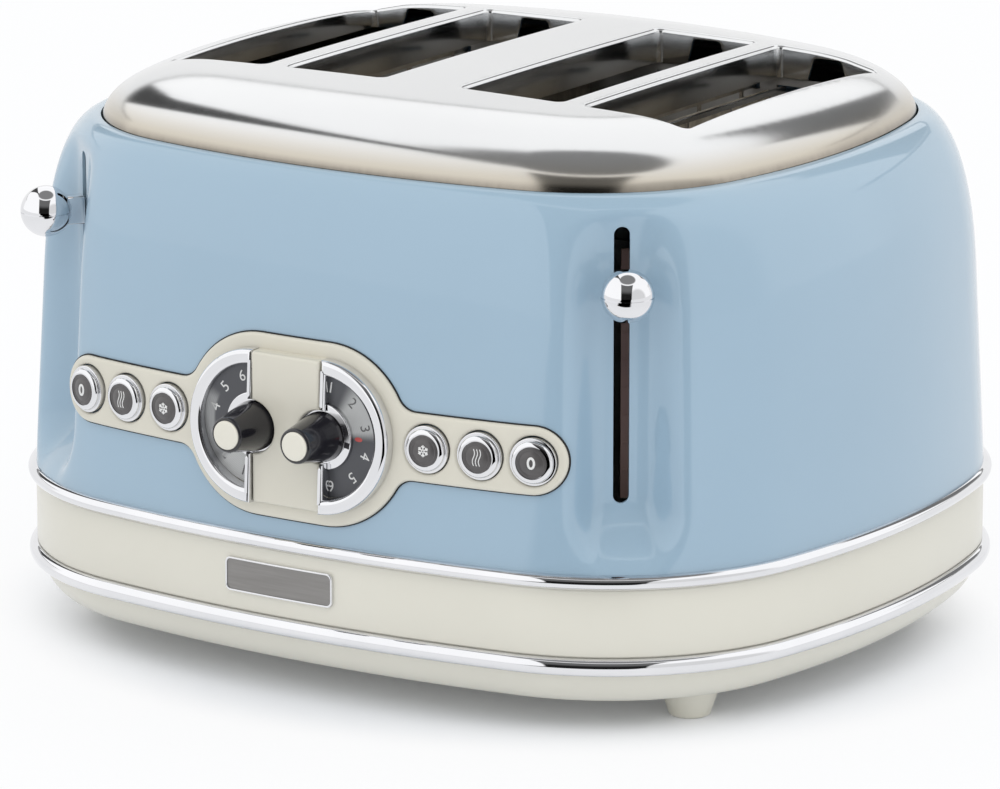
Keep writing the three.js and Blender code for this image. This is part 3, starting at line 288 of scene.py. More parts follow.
# Guides behind the lever slots
GUIDE_DEPTH = 0.018
GUIDE_THICKNESS = 0.0012
GUIDE_ACROSS = (0.0023, 0.0072)
GUIDE_TOP_DROP = 0.012
GUIDE_PITCH = 0.0098
GUIDE_TOOTH = 0.0007

# Screws and heater ribbons
SCREW_X = 0.095
SCREW_Y = 0.06
SCREW_RADIUS = 0.0032
SCREW_PROUD = 0.0011
SCREW_DIMPLE = 0.0009
CARD_COUNT = 6
RIBBON_MARGIN = 0.01
RIBBON_PITCH = 0.0085
RIBBON_WIDTH = 0.0016
RIBBON_PROUD = 0.00025

# Feet, gland and badge
FOOT_X = 0.126
FOOT_Y = 0.078
FOOT_TOP_RADIUS = 0.011
FOOT_BOTTOM_RADIUS = 0.0076
FOOT_EDGE = 0.0012
FOOT_SINK = 0.0004
GLAND_Z = 0.042
GLAND_HOLE = 0.0069
GLAND_RADIUS = 0.0066
GLAND_FLANGE_RADIUS = 0.009
GLAND_FLANGE = 0.0016
GLAND_BORE = 0.0041
GLAND_EDGE = 0.0004
BADGE_X = -0.0055
BADGE_Z = 0.0427
BADGE_HALF_WIDTH = 0.023
BADGE_HALF_HEIGHT = 0.0062
BADGE_CORNER = 0.0021
BADGE_RIM = 0.0007
BADGE_RISE = 0.0012
BADGE_FACE_RISE = 0.00072
BADGE_SPACING = 0.003
BADGE_EDGE = 0.0003

# Finishes that follow a place: the painted reflection on the cap's low rim and the painted shade at its foot,
# and the spun dials' painted reflection fans in radians
RIM_REFLECTION_FROM = 0.002
RIM_REFLECTION_TO = 0.012
RIM_FOOT_SHADE = 0.0035
SPUN_PITCH = 9000.0
RIGHT_FAN = (0.0, 0.25, 0.8, 1.15)
LEFT_FAN = (-1.6, -1.4, -0.85, -0.6)
LEFT_OUTER_FAN = (-0.75, -0.55, 0.35, 0.6)
LEFT_OUTER_REACH = (0.0172, 0.0186)
LEFT_OUTER_SHARE = 0.5
GROOVE_LIGHT, GROOVE_DEPTH = 0.92, 0.08

# Surroundings: strengths, and parts of directions, with the front at -y
RIGHT_TOWARDS, RIGHT_EDGE = (0.97, -0.26), (0.72, 0.86)
BEHIND_TOWARDS, BEHIND_EDGE = (-0.5, 0.87), (0.4, 0.55)
ROOM_LEVEL = 1.2
RIGHT_LEVEL = 0.82
BEHIND_LEVEL = 0.98
CEILING_LEVEL = 0.26
DOORWAY_LEVEL = 0.015
DOORWAY_HIGH_LEVEL = 0.16
BEAM_LEVEL = 0.07
BACK_GAP_LEVEL = 0.2
SEAM_LEVEL = 0.3
CEILING_START = 0.88
CEILING_END = 0.92
DOORWAY_ANGLE = math.radians(27)
DOORWAY_ACROSS = (math.cos(DOORWAY_ANGLE), math.sin(DOORWAY_ANGLE))
DOORWAY_TOWARDS = (math.sin(DOORWAY_ANGLE), -math.cos(DOORWAY_ANGLE))
DOORWAY_HALF = 0.37
DOORWAY_TOP = 0.84
DOORWAY_LIGHTER = (0.3, 0.62)
BEAM_NORMAL = (0.649, 0.658, 0.381)
BEAM_HALF = 0.045
BEAM_SPREAD = 0.13
BEAM_SPREAD_FROM = -0.5
BEAM_SPREAD_TO = -0.95
BEAM_RIGHT_END = -0.3
SEAM_Z = 0.31
SEAM_HALF = 0.01
BACK_GAP_HALF = 0.16
BACK_GAP_LOW = 0.34
BACK_GAP_HIGH = 0.62
PLAIN_LEVEL = 0.82
PLAIN_RISE = 0.3
SOFT = 0.03

# Floor
FLOOR_HALF = 6.0
FLOOR_WHITE = 0.84
# Whitening held low in an oval under the toaster, which darkens the floor there: partly the rendered shadow,
# partly painted shade
FLOOR_WHITE_BELOW = 0.08
FLOOR_BELOW = (0.9, 1.22)
DOORWAY_START = 0.4
FLOOR_GREY = 0.95
FLOOR_GREY_START = 0.2
FLOOR_GREY_FULL = 0.45

# Lamp
KEY_PLACE = (0.7, -0.9, 1.5)
KEY_TARGET = (0.0, 0.0, 0.1)
KEY_WIDTH, KEY_HEIGHT = 1.0, 0.8
KEY_POWER = 3.0

# Doubles merge within this distance, and cutting tools reach past what they cut
MERGE = 2e-6
OVERRUN = 0.003


class Plan:
    """An outline of front, side and corner arcs, given by its half sizes and the arcs' radii."""

    def __init__(self, half_width, half_depth, front, side, corner):
        self.half_width, self.half_depth = half_width, half_depth
        self.front, self.side, self.corner = front, side, corner
        self.front_y = half_depth - front
        self.side_x = half_width - side
        to_front, to_side = front - corner, side - corner
        apart = math.hypot(self.side_x, self.front_y)
        along = (to_front**2 - to_side**2 + apart**2) / (2 * apart)
        off = math.sqrt(to_front**2 - along**2)
        across_x, across_y = self.side_x / apart, -self.front_y / apart
        self.corner_x = across_x * along + across_y * off
        self.corner_y = self.front_y + across_y * along - across_x * off
        self.front_angle = math.atan2(self.corner_y - self.front_y, self.corner_x)
        self.side_angle = math.atan2(self.corner_y, self.corner_x - self.side_x)

    def blend(self, other, share):
        mine = (self.half_width, self.half_depth, self.front, self.side, self.corner)
        theirs = (other.half_width, other.half_depth, other.front, other.side, other.corner)
        return Plan(*(a + (b - a) * share for a, b in zip(mine, theirs)))

    def quarter(self, inset, steps):
        """Points from the middle of the side to the middle of the back; steps for side, corner and front."""
        arcs = (
            (self.side_x, 0.0, self.side, 0.0, self.side_angle),
            (self.corner_x, self.corner_y, self.corner, self.side_angle, self.front_angle),
            (0.0, self.front_y, self.front, self.front_angle, math.pi / 2),
        )
        points = []
        for (x, y, radius, start, end), count in zip(arcs, steps):
            points.append(arc((x, y), radius - inset, start, end, count)[1 if points else 0:])
        return np.vstack(points)

    def outline(self, inset, steps):
        """The whole outline, anticlockwise from above."""
        return four_ways(self.quarter(inset, steps))

    def depth_in(self, x, y):
        """How far points lie in from the outline."""
        x, y = np.abs(x), np.abs(y)
        front = self.front - np.hypot(x, y - self.front_y)
        side = self.side - np.hypot(x - self.side_x, y)
        corner = self.corner - np.hypot(x - self.corner_x, y - self.corner_y)
        in_front = np.arctan2(y - self.front_y, x) >= self.front_angle
        in_side = np.arctan2(y, x - self.side_x) <= self.side_angle
        return np.where(in_front, front, np.where(in_side, side, corner))

    def front_at(self, x, proud=0.0):
        """Depth and turn, at a distance from the middle, of the front or of a surface proud of it."""
        reach = abs(x)
        on_corner = reach > (self.front + proud) * math.cos(self.front_angle)
        radius = (self.corner if on_corner else self.front) + proud
        centre_x, centre_y = (self.corner_x, self.corner_y) if on_corner else (0.0, self.front_y)
        turn = math.asin((reach - centre_x) / radius)
        return -(centre_y + radius * math.cos(turn)), math.copysign(turn, x)


BODY = Plan(SHELL_HIGH.x, (SHELL_HIGH.y - SHELL_LOW.y) / 2, *BODY_RADII)
LIP = Plan(CAP_HIGH.x + LIP_GAP, (CAP_HIGH.y - CAP_LOW.y) / 2 + LIP_GAP, *LIP_RADII)


def smooth(value, start, end):
    """0 at start, 1 at end, with no kink at either."""
    t = np.clip((value - start) / (end - start), 0.0, 1.0)
    return t * t * (3 - 2 * t)


def body_share(z, lean):
    """How far in towards the lip the body has come at a height, with its lean's share of the way."""
    up = max(z - SHELL_BOTTOM, 0.0) / (LIP_Z - SHELL_BOTTOM)
    turned = min(max(z - (LIP_Z - SHOULDER_HEIGHT), 0.0) / SHOULDER_HEIGHT, 1.0)
    return lean * up + (1 - lean) * (1 - (1 - turned**SHOULDER_POWER) ** (1 / SHOULDER_POWER))


def plan_at(z):
    """The body's plan at a height: its front and back lean more than its sides."""
    plan = BODY.blend(LIP, body_share(z, LEAN_SHARE))
    half_depth = BODY.blend(LIP, body_share(z, FRONT_LEAN_SHARE)).half_depth
    return Plan(plan.half_width, half_depth, plan.front, plan.side, plan.corner)


def recess_frame(side):
    """Outward direction of a lever recess, the direction across it, and its foot."""
    out = np.array((side * math.sin(RECESS_ANGLE), -math.cos(RECESS_ANGLE)))
    across = np.array((side * math.cos(RECESS_ANGLE), math.sin(RECESS_ANGLE)))
    return out, across, np.array((side * RECESS_FOOT[0], -RECESS_FOOT[1]))


def body_ring(z):
    """A ring of the body, pressed in to the flat floor of the recess at each front corner."""
    points = plan_at(z).outline(0.0, SHELL_STEPS)
    below = max(RECESS_BOTTOM + RECESS_BOTTOM_RAMP - z, 0.0) / RECESS_BOTTOM_RAMP
    above = max(z - RECESS_TOP + RECESS_TOP_RAMP, 0.0) / RECESS_TOP_RAMP
    for side in (-1, 1):
        out, across, foot = recess_frame(side)
        near = (points[:, 1] < 0) & (points[:, 0] * side > 0)
        lateral = np.abs((points - foot) @ across)
        proud = (points - foot) @ out
        beside = np.maximum(lateral - RECESS_FLOOR_HALF, 0.0) / (RECESS_HALF - RECESS_FLOOR_HALF)
        pressed = 1 - smooth(np.hypot(beside, below + above), 0.0, 1.0)
        move = np.maximum(proud, 0.0) * pressed * near
        points = points - move[:, None] * out
    return np.column_stack((points, np.full(len(points), z)))


class Mesh:
    """Points and faces gathered round the middle of the body, then made one piece."""

    def __init__(self):
        self.points, self.faces, self.marks = [], [], []

    def add(self, points):
        start = len(self.points)
        self.points += [tuple(p) for p in points]
        return list(range(start, len(self.points)))

    def face(self, corners, mark=0):
        self.faces.append(tuple(corners))
        self.marks.append(mark)

    def strip(self, low, high, mark=0):
        """Quads between two rings of equal count."""
        for i in range(len(low)):
            j = (i + 1) % len(low)
            self.face((low[i], low[j], high[j], high[i]), mark)

    def rings(self, rings, around=False):
        """Quads through a run of rings; around joins the last to the first. Gives the rings' indices."""
        made = [self.add(ring) for ring in rings]
        for low, high in zip(made, made[1:]):
            self.strip(low, high)
        if around:
            self.strip(made[-1], made[0])
        return made

    def bar(self, rings):
        """A solid through a run of rings, closed at both ends."""
        made = self.rings(rings)
        self.face(made[0][::-1])
        self.face(made[-1])

    def fill(self, outer, holes, place, spacing=None):
        """Triangles over a flat outline with holes, with a grid of points where spacing asks for it."""
        loops = [np.asarray(outer)] + [np.asarray(h) for h in holes]
        flat = np.vstack(loops)
        edges, start = [], 0
        for loop in loops:
            count = len(loop)
            edges += [(start + i, start + (i + 1) % count) for i in range(count)]
            start += count
        if spacing:
            flat = np.vstack((flat, grid_inside(loops, spacing)))
        found = delaunay_2d_cdt([Vector(p) for p in flat], edges, [], 1, MERGE / 100)
        flat = np.array([tuple(p) for p in found[0]])
        index = self.add(place(flat))
        middles = np.array([flat[list(corners)].mean(0) for corners in found[2]])
        keep = inside(loops[0], middles)
        for loop in loops[1:]:
            keep &= ~inside(loop, middles)
        for corners, kept in zip(found[2], keep):
            if kept:
                self.face([index[c] for c in corners])

    def data(self, name):
        """A Blender mesh in the toaster's frame, its doubles merged."""
        data = bpy.data.meshes.new(name)
        shifted = np.array(self.points, float) + (0.0, CENTRE_Y, 0.0)
        data.from_pydata(shifted.tolist(), [], self.faces)
        data.polygons.foreach_set("material_index", self.marks)
        bm = bmesh.new()
        bm.from_mesh(data)
        bmesh.ops.remove_doubles(bm, verts=bm.verts, dist=MERGE)
        bm.to_mesh(data)
        bm.free()
        return data

    def piece(self, name, body, materials, node, sharp=35.0):
        """The finished piece, riding on its body in place of a CAD node."""
        return finished(name, self.data(name), body, materials, node, sharp)


def grid_inside(loops, spacing):
    """Points of a staggered grid inside the first loop and outside the others, clear of the edges."""
    low, high = loops[0].min(0), loops[0].max(0)
    rows = np.arange(low[1] + spacing / 2, high[1], spacing)
    points = [(x + (spacing / 2 if i % 2 else 0.0), y)
              for i, y in enumerate(rows) for x in np.arange(low[0] + spacing / 2, high[0], spacing)]
    points = np.array(points)
    keep = inside(loops[0], points) & (nearest(loops[0], points) > spacing / 2)
    for loop in loops[1:]:
        keep &= ~inside(loop, points) & (nearest(loop, points) > spacing / 2)
    return points[keep]


def inside(loop, points):
    """Which points lie within a closed loop."""
    following = np.roll(loop, -1, 0)
    hits = np.zeros(len(points), int)
    for (x1, y1), (x2, y2) in zip(loop, following):
        if y1 == y2:
            continue
        spans = (y1 > points[:, 1]) != (y2 > points[:, 1])
        crossing = x1 + (points[:, 1] - y1) * (x2 - x1) / (y2 - y1)
        hits += spans & (points[:, 0] < crossing)
    return hits % 2 == 1


def nearest(loop, points):
    """Each point's distance to the loop's nearest corner."""
    return np.min(np.hypot(points[:, None, 0] - loop[None, :, 0], points[:, None, 1] - loop[None, :, 1]), 1)


def linked(name, data):
    """A new object in the scene."""
    made = bpy.data.objects.new(name, data)
    bpy.context.scene.collection.objects.link(made)
    return made


def finished(name, data, body, materials, node, sharp=35.0):
    """A mesh as a piece of the toaster: merged, faces outwards, shaded by angle, riding on its body.

    It takes the place of a CAD node, or of none.
    """
    bm = bmesh.new()
    bm.from_mesh(data)
    bmesh.ops.remove_doubles(bm, verts=bm.verts, dist=MERGE)
    bmesh.ops.dissolve_degenerate(bm, dist=MERGE, edges=bm.edges)
    bmesh.ops.recalc_face_normals(bm, faces=bm.faces)
    bm.to_mesh(data)
    bm.free()
    data.materials.clear()
    for material in materials:
        data.materials.append(FINISH[material])
    data.polygons.foreach_set("use_smooth", [True] * len(data.polygons))
    data.set_sharp_from_angle(angle=math.radians(sharp))
    data.update()
    made = linked(name, data)
    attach(made, body)
    if node:
        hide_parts(node)
    return made


def as_mesh(obj):
    """An object with its modifiers as a plain mesh, the object itself removed."""
    graph = bpy.context.evaluated_depsgraph_get()
    data = bpy.data.meshes.new_from_object(obj.evaluated_get(graph), depsgraph=graph)
    data.transform(obj.matrix_world)
    bpy.data.objects.remove(obj)
    return data


def carved(data, tools):
    """A mesh with the tools' shapes cut out of it."""
    tool_data = bpy.data.meshes.new("tools")
    bm = bmesh.new()
    for tool in tools:
        bm.from_mesh(tool)
    bmesh.ops.recalc_face_normals(bm, faces=bm.faces)
    bm.to_mesh(tool_data)
    bm.free()
    body, cutter = linked("carved", data), linked("cutter", tool_data)
    cut = body.modifiers.new("cut", "BOOLEAN")
    cut.operation, cut.solver, cut.object = "DIFFERENCE", "EXACT", cutter
    made = as_mesh(body)
    bpy.data.objects.remove(cutter)
    return made


def thickened(data, wall):
    """A sheet given a wall on the side away from its faces' fronts."""
    sheet = linked("sheet", data)
    solid = sheet.modifiers.new("wall", "SOLIDIFY")
    solid.thickness, solid.offset, solid.use_even_offset = wall, -1.0, True
    return as_mesh(sheet)


def arc(centre, radius, start, end, steps):
    """Points along an arc, both ends included."""
    angles = np.linspace(start, end, steps + 1)
    return np.column_stack((centre[0] + radius * np.cos(angles), centre[1] + radius * np.sin(angles)))


def circle(centre, radius, steps):
    """Points round a full circle."""
    return arc(centre, radius, 0.0, 2 * math.pi, steps)[:-1]


def run(start, end, steps):
    """Points along a straight run, both ends included."""
    return np.linspace(start, end, steps + 1)


def path(*parts):
    """The parts one after another, without the point that each shares with the one before."""
    points = np.vstack(parts)
    step = np.hypot(*(points - np.roll(points, 1, 0)).T)
    return points[step > MERGE]


def four_ways(quarter):
    """A loop from one quarter that runs from the +X axis to the +Y axis."""
    flip = np.array((-1.0, 1.0))
    return np.vstack((quarter[:-1], (quarter[1:] * flip)[::-1], -quarter[:-1], (quarter[1:] * -flip)[::-1]))


def level(points, z):
    """Flat points at a height."""
    return np.column_stack((points, np.full(len(points), z)))


def rounding(radius, steps=5):
    """Insets and drops of a quarter-round edge, from its side to its face."""
    angles = np.linspace(0.0, math.pi / 2, steps + 1)
    return [(radius * (1 - math.cos(a)), radius * (1 - math.sin(a))) for a in angles]


def on_body(proud):
    """Lays flat panel points on the body's front, a little proud of it."""
    def place(points):
        placed = []
        for x, v in points:
            z = PANEL_Z + v
            placed.append((x, plan_at(z).front_at(x, proud)[0], z))
        return np.array(placed)
    return place


def on_plane(depth):
    """Lays flat panel points on an upright plane in front of the middle."""
    def place(points):
        return np.column_stack((points[:, 0], np.full(len(points), -depth), PANEL_Z + points[:, 1]))
    return place


def soft_edged(place, back, face, edge):
    """Steps of a closed flat piece from its back to its face, whose edge is rounded."""
    return [(0.0, place(back)), *((inset, place(face - drop)) for inset, drop in rounding(edge))]


def pressed(mesh, outer, holes, steps, spacing=None):
    """A closed flat piece: each step gives how far its edges are drawn in, and where they then lie."""
    loops = [[outer(-inset), *(hole(inset) for hole in holes)] for inset, _ in steps]
    for k in range(len(holes) + 1):
        mesh.rings([place(loops[s][k]) for s, (_, place) in enumerate(steps)])
    for end in (0, -1):
        mesh.fill(loops[end][0], loops[end][1:], steps[end][1], spacing)


def turned(mesh, profile, origin, axis, steps, around=False):
    """A turned shape from (radius, distance along the axis) points, closed where the radius is zero."""
    axis = np.array(axis, float)
    first = np.cross((0.0, 0.0, 1.0) if abs(axis[2]) < 0.9 else (1.0, 0.0, 0.0), axis)
    first /= np.linalg.norm(first)
    second = np.cross(axis, first)
    angles = np.arange(steps) * 2 * math.pi / steps
    spokes = np.cos(angles)[:, None] * first + np.sin(angles)[:, None] * second
    rings = []
    for radius, along in profile:
        centre = np.array(origin) + axis * along
        rings.append(mesh.add([centre] if radius == 0 else centre + radius * spokes))
    pairs = list(zip(rings, rings[1:]))
    if around:
        pairs.append((rings[-1], rings[0]))
    for low, high in pairs:
        if len(low) > 1 and len(high) > 1:
            mesh.strip(low, high)
            continue
        for i in range(steps):
            j = (i + 1) % steps
            mesh.face((low[0], high[j], high[i]) if len(low) == 1 else (low[i], low[j], high[0]))


def tube(mesh, points, radius, sides, closed=False):
    """A round wire along a line of points."""
    points = np.array(points, float)
    if closed:
        runs = np.roll(points, -1, 0) - np.roll(points, 1, 0)
    else:
        runs = np.gradient(points, axis=0)
    runs /= np.linalg.norm(runs, axis=1)[:, None]
    side = np.cross(runs[0], (0.0, 0.0, 1.0) if abs(runs[0][2]) < 0.9 else (1.0, 0.0, 0.0))
    rings = []
    for point, direction in zip(points, runs):
        side = side - direction * (side @ direction)
        side /= np.linalg.norm(side)
        other = np.cross(direction, side)
        angles = np.arange(sides) * 2 * math.pi / sides
        rings.append(point + radius * (np.cos(angles)[:, None] * side + np.sin(angles)[:, None] * other))
    if closed:
        mesh.rings(rings, around=True)
    else:
        mesh.bar(rings)


def box_data(low, high):
    """A plain box as a cutting tool."""
    tool = Mesh()
    ring = np.array(((low[0], low[1]), (high[0], low[1]), (high[0], high[1]), (low[0], high[1])))
    tool.bar((level(ring, low[2]), level(ring, high[2])))
    return tool.data("tool")


def rod_data(start, end, radius, steps=40):
    """A round bar as a cutting tool."""
    start, end = np.array(start, float), np.array(end, float)
    length = np.linalg.norm(end - start)
    tool = Mesh()
    profile = ((0.0, 0.0), (radius, 0.0), (radius, length), (0.0, length))
    turned(tool, profile, start, (end - start) / length, steps)
    return tool.data("tool")


# Finishes

def paint(red, green, blue):
    """A colour given in 0 to 255, as Blender's linear colour."""
    shares = (c / 255 for c in (red, green, blue))
    return (*(c / 12.92 if c <= 0.04045 else ((c + 0.055) / 1.055) ** 2.4 for c in shares), 1.0)


class Value:
    """A shader socket that can be used in sums."""

    def __init__(self, finish, socket):
        self.finish, self.socket = finish, socket

    def __add__(self, other):
        return self.finish.math("ADD", self, other)

    __radd__ = __add__

    def __sub__(self, other):
        return self.finish.math("SUBTRACT", self, other)

    def __rsub__(self, other):
        return self.finish.math("SUBTRACT", other, self)

    def __mul__(self, other):
        return self.finish.math("MULTIPLY", self, other)

    __rmul__ = __mul__

    def between(self, start, end):
        """0 below start, 1 above end, smooth in between."""
        settings = {"interpolation_type": "SMOOTHSTEP"}
        inputs = {"Value": self, "From Min": start, "From Max": end}
        return self.finish.node("ShaderNodeMapRange", settings, inputs)


class Finish:
    """A node tree that ends in one shader, and the sockets that vary it."""

    def __init__(self, name, tree=None, **sockets):
        self.name = name
        if tree is None:
            self.material = bpy.data.materials.new(name)
            self.material.use_nodes = True
            tree = self.material.node_tree
            self.shader = tree.nodes["Principled BSDF"]
        self.tree = tree
        for socket, value in sockets.items():
            self.set(socket.replace("_", " "), value)

    def put(self, socket, value):
        if isinstance(value, Value):
            self.tree.links.new(value.socket, socket)
        else:
            socket.default_value = value

    def set(self, socket, value):
        self.put(self.shader.inputs[socket], value)

    def node(self, kind, settings=None, inputs=None, output=0):
        made = self.tree.nodes.new(kind)
        for name, value in (settings or {}).items():
            setattr(made, name, value)
        for socket, value in (inputs or {}).items():
            self.put(made.inputs[socket], value)
        return Value(self, made.outputs[output])

    def math(self, operation, *inputs):
        return self.node("ShaderNodeMath", {"operation": operation}, dict(enumerate(inputs)))

    def place(self):
        return self.node("ShaderNodeTexCoord", output="Object")

    def noise(self, scale, detail=3.0, roughness=0.5, stretch=(1.0, 1.0, 1.0)):
        where = self.node("ShaderNodeVectorMath", {"operation": "MULTIPLY"}, {0: self.place(), 1: stretch})
        inputs = {"Vector": where, "Scale": scale, "Detail": detail, "Roughness": roughness}
        return self.node("ShaderNodeTexNoise", None, inputs)

    def split(self, vector):
        parts = self.node("ShaderNodeSeparateXYZ", None, {0: vector}).socket.node
        return [Value(self, parts.outputs[k]) for k in range(3)]

    def mix(self, share, first, second):
        return self.node("ShaderNodeMix", {"data_type": "RGBA"}, {0: share, 6: first, 7: second}, output=2)

    def bump(self, height, distance, strength=1.0):
        inputs = {"Height": height, "Distance": distance, "Strength": strength}
        self.set("Normal", self.node("ShaderNodeBump", None, inputs))


def dial_painted_reflection(finish):
    """Painted reflections in fans on the spun dials: beside 2 and 3 on the right, beside 1 and 2 on the left.
    """
    across, _, up = finish.split(finish.place())
    off = finish.math("ABSOLUTE", across) - DIAL_X
    rise = up - PANEL_Z
    reach = finish.math("SQRT", off * off + rise * rise)
    turn = finish.math("ARCTAN2", rise, off)
    right = across.between(-SEAT_GAP, SEAT_GAP)
    fans = []
    for low, low_full, high_full, high in (RIGHT_FAN, LEFT_FAN, LEFT_OUTER_FAN):
        fans.append(turn.between(low, low_full) * (1 - turn.between(high_full, high)))
    outer = reach.between(*LEFT_OUTER_REACH)
    grooves = GROOVE_LIGHT + GROOVE_DEPTH * finish.math("SINE", reach * SPUN_PITCH)
    return (right * fans[0] + (1 - right) * (fans[1] + LEFT_OUTER_SHARE * outer * fans[2])) * grooves


def mottled(name, dark, light, scale, roughness, grain=None, **sockets):
    """A finish whose colour and roughness drift: roughness is its level, spread and noise."""
    made = Finish(name, **sockets)
    level, spread, *fineness = roughness
    made.set("Base Color", made.mix(made.noise(scale), paint(*dark), paint(*light)))
    made.set("Roughness", level + spread * made.noise(*fineness))
    if grain:
        fine, detail, distance, strength = grain
        made.bump(made.noise(fine, detail), distance, strength)
    return made


def patterned(name, noise, dark, light, roughness, clear=None, relief=None, **sockets):
    """A finish in which one noise drives colour, roughness and relief."""
    made = Finish(name, **sockets)
    pattern = made.noise(*noise)
    share = pattern.between(*clear) if clear else pattern
    made.set("Base Color", made.mix(share, paint(*dark), paint(*light)))
    made.set("Roughness", roughness[0] + roughness[1] * pattern)
    if relief:
        made.bump(pattern, *relief)
    return made


def polished_steel():
    """The cap's steel: bright, with a beige painted reflection on its low rim that darkens to painted shade
    at its foot.
    """
    steel = Finish("polished_steel", Metallic=1.0)
    sheen = steel.mix(steel.noise(9.0, 4.0), paint(214, 215, 216), paint(231, 232, 233))
    height = steel.split(steel.place())[2]
    # Painted reflection of the cream base on the low rim, darkening to painted shade at the rim's foot by the
    # lip
    rim_reflection_zone = 1 - height.between(LIP_Z + RIM_REFLECTION_FROM, LIP_Z + RIM_REFLECTION_TO)
    foot = 1 - height.between(LIP_Z, LIP_Z + RIM_FOOT_SHADE)
    streaks = steel.noise(300.0, 4.0, 0.65, (1.0, 1.0, 0.05))
    painted_rim_reflection = steel.mix(foot * (0.5 + 0.5 * streaks), paint(196, 189, 176), paint(138, 131, 122))
    steel.set("Base Color", steel.mix(rim_reflection_zone, sheen, painted_rim_reflection))
    steel.set("Roughness", 0.1 + 0.07 * streaks + 0.05 * rim_reflection_zone)
    steel.bump(streaks * 0.03 + steel.noise(26.0, 2.0), 0.0003, 0.14)
    return steel


def spun_dial():
    """The dials' dark sheet, with painted reflection fans."""
    dial = Finish("dial_scale", Metallic=0.25)
    dark_tone = dial.mix(dial.noise(40.0), paint(78, 79, 83), paint(92, 93, 97))
    dial.set("Base Color", dial.mix(dial_painted_reflection(dial), dark_tone, paint(196, 197, 196)))
    dial.set("Roughness", 0.3 + 0.1 * dial.noise(900.0))
    return dial


def dial_print():
    """The dials' white numbers, painted darker where the painted reflection fans fall behind them."""
    digits = Finish("dial_print")
    digits.set("Base Color", digits.mix(dial_painted_reflection(digits), paint(226, 226, 224), paint(74, 74, 76)))
    digits.set("Roughness", 0.45 + 0.1 * digits.noise(900.0))
    return digits


def make_finishes():
    """Every finish of the toaster, by name."""
    made = [polished_steel(), spun_dial(), dial_print()]
    for name, dark, light in (("cream_plastic", (222, 219, 206), (228, 225, 212)),
                              ("cream_panel", (216, 212, 197), (221, 217, 203)),
                              ("cream_cap", (226, 222, 208), (231, 228, 215))):
        made.append(mottled(name, dark, light, 22.0, (0.32, 0.1, 180.0), (900.0, 2.0, 0.00002, 0.3),
                            Coat_Weight=0.35, Coat_Roughness=0.12))
    made += [
        mottled("blue_enamel", (152, 179, 198), (157, 184, 203), 14.0, (0.38, 0.08, 60.0),
                (420.0, 1.0, 0.00002, 0.25), Coat_Weight=1.0, Coat_Roughness=0.035, Coat_IOR=1.5),
        mottled("chrome", (222, 223, 226), (236, 236, 238), 35.0, (0.02, 0.03, 150.0, 4.0), Metallic=1.0),
        mottled("bright_wire", (196, 195, 193), (222, 221, 219), 300.0, (0.18, 0.12, 500.0), Metallic=1.0),
        mottled("black_gloss", (20, 19, 25), (27, 26, 33), 120.0, (0.14, 0.08, 300.0),
                Coat_Weight=0.5, Coat_Roughness=0.06),
        mottled("button_face", (74, 71, 71), (88, 85, 85), 500.0, (0.3, 0.12, 700.0),
                Coat_Weight=0.4, Coat_Roughness=0.15),
        mottled("white_print", (226, 226, 224), (240, 240, 238), 600.0, (0.45, 0.1, 900.0)),
        mottled("red_mark", (170, 70, 68), (196, 90, 86), 600.0, (0.4, 0.1, 900.0)),
        mottled("heater_ribbon", (66, 60, 56), (92, 86, 80), 400.0, (0.45, 0.2, 500.0), Metallic=0.8),
        mottled("board_green", (38, 84, 52), (52, 102, 66), 80.0, (0.45, 0.2, 300.0)),
        mottled("guide_brown", (176, 146, 140), (200, 168, 160), 120.0, (0.5, 0.2, 300.0)),
        mottled("gland_rubber", (30, 30, 32), (42, 42, 44), 200.0, (0.7, 0.15, 500.0),
                (1500.0, 3.0, 0.00004, 0.4)),
        patterned("slot_steel", (70.0, 5.0, 0.62), (158, 161, 168), (212, 215, 221), (0.3, 0.2),
                  (0.3, 0.72), (0.0001, 0.3), Metallic=0.3),
        patterned("inner_steel", (90.0, 4.0), (150, 149, 148), (192, 191, 189), (0.3, 0.25),
                  None, (0.00005, 0.3), Metallic=0.6),
        patterned("mica", (160.0, 5.0, 0.6, (1.0, 1.0, 0.5)), (158, 148, 132), (196, 187, 170), (0.5, 0.25),
                  (0.3, 0.7), (0.0001, 0.4)),
        patterned("badge_face", (900.0, 3.0, 0.6, (0.04, 1.0, 1.0)), (126, 124, 122), (154, 152, 150),
                  (0.28, 0.14), Metallic=0.8),
    ]
    return {finish.name: finish.material for finish in made}


FINISH = make_finishes()


# Body

def make_body_shell():
    """The pressed wall with its lever slots, and the holes behind the control panel."""
    straight = np.linspace(SHELL_BOTTOM, LIP_Z - SHOULDER_HEIGHT, 27)
    round_over = np.sin(np.linspace(0.0, math.pi / 2, 25)[1:]) ** (2 / SHOULDER_POWER)
    levels = [*straight, *(LIP_Z - SHOULDER_HEIGHT * (1 - round_over))]
    hoop = Mesh()
    hoop.rings([body_ring(z) for z in levels])
    tools = [button_hole(x, BUTTON_RADIUS + BUTTON_HOLE_GAP - BED_GAP) for x in BUTTON_XS]
    for _, side in HANDS:
        x = side * DIAL_X
        tools.append(slot_tool(side))
        tools.append(rod_data((x, -BODY.half_depth - OVERRUN, PANEL_Z), (x, -LIP.half_depth, PANEL_Z),
                              SKIRT_RADIUS + KNOB_CLEARANCE))
    data = carved(thickened(hoop.data("hoop"), SHELL_WALL), tools)
    finished("body_shell_enamel", data, "housing", ("blue_enamel",), "body_shell")


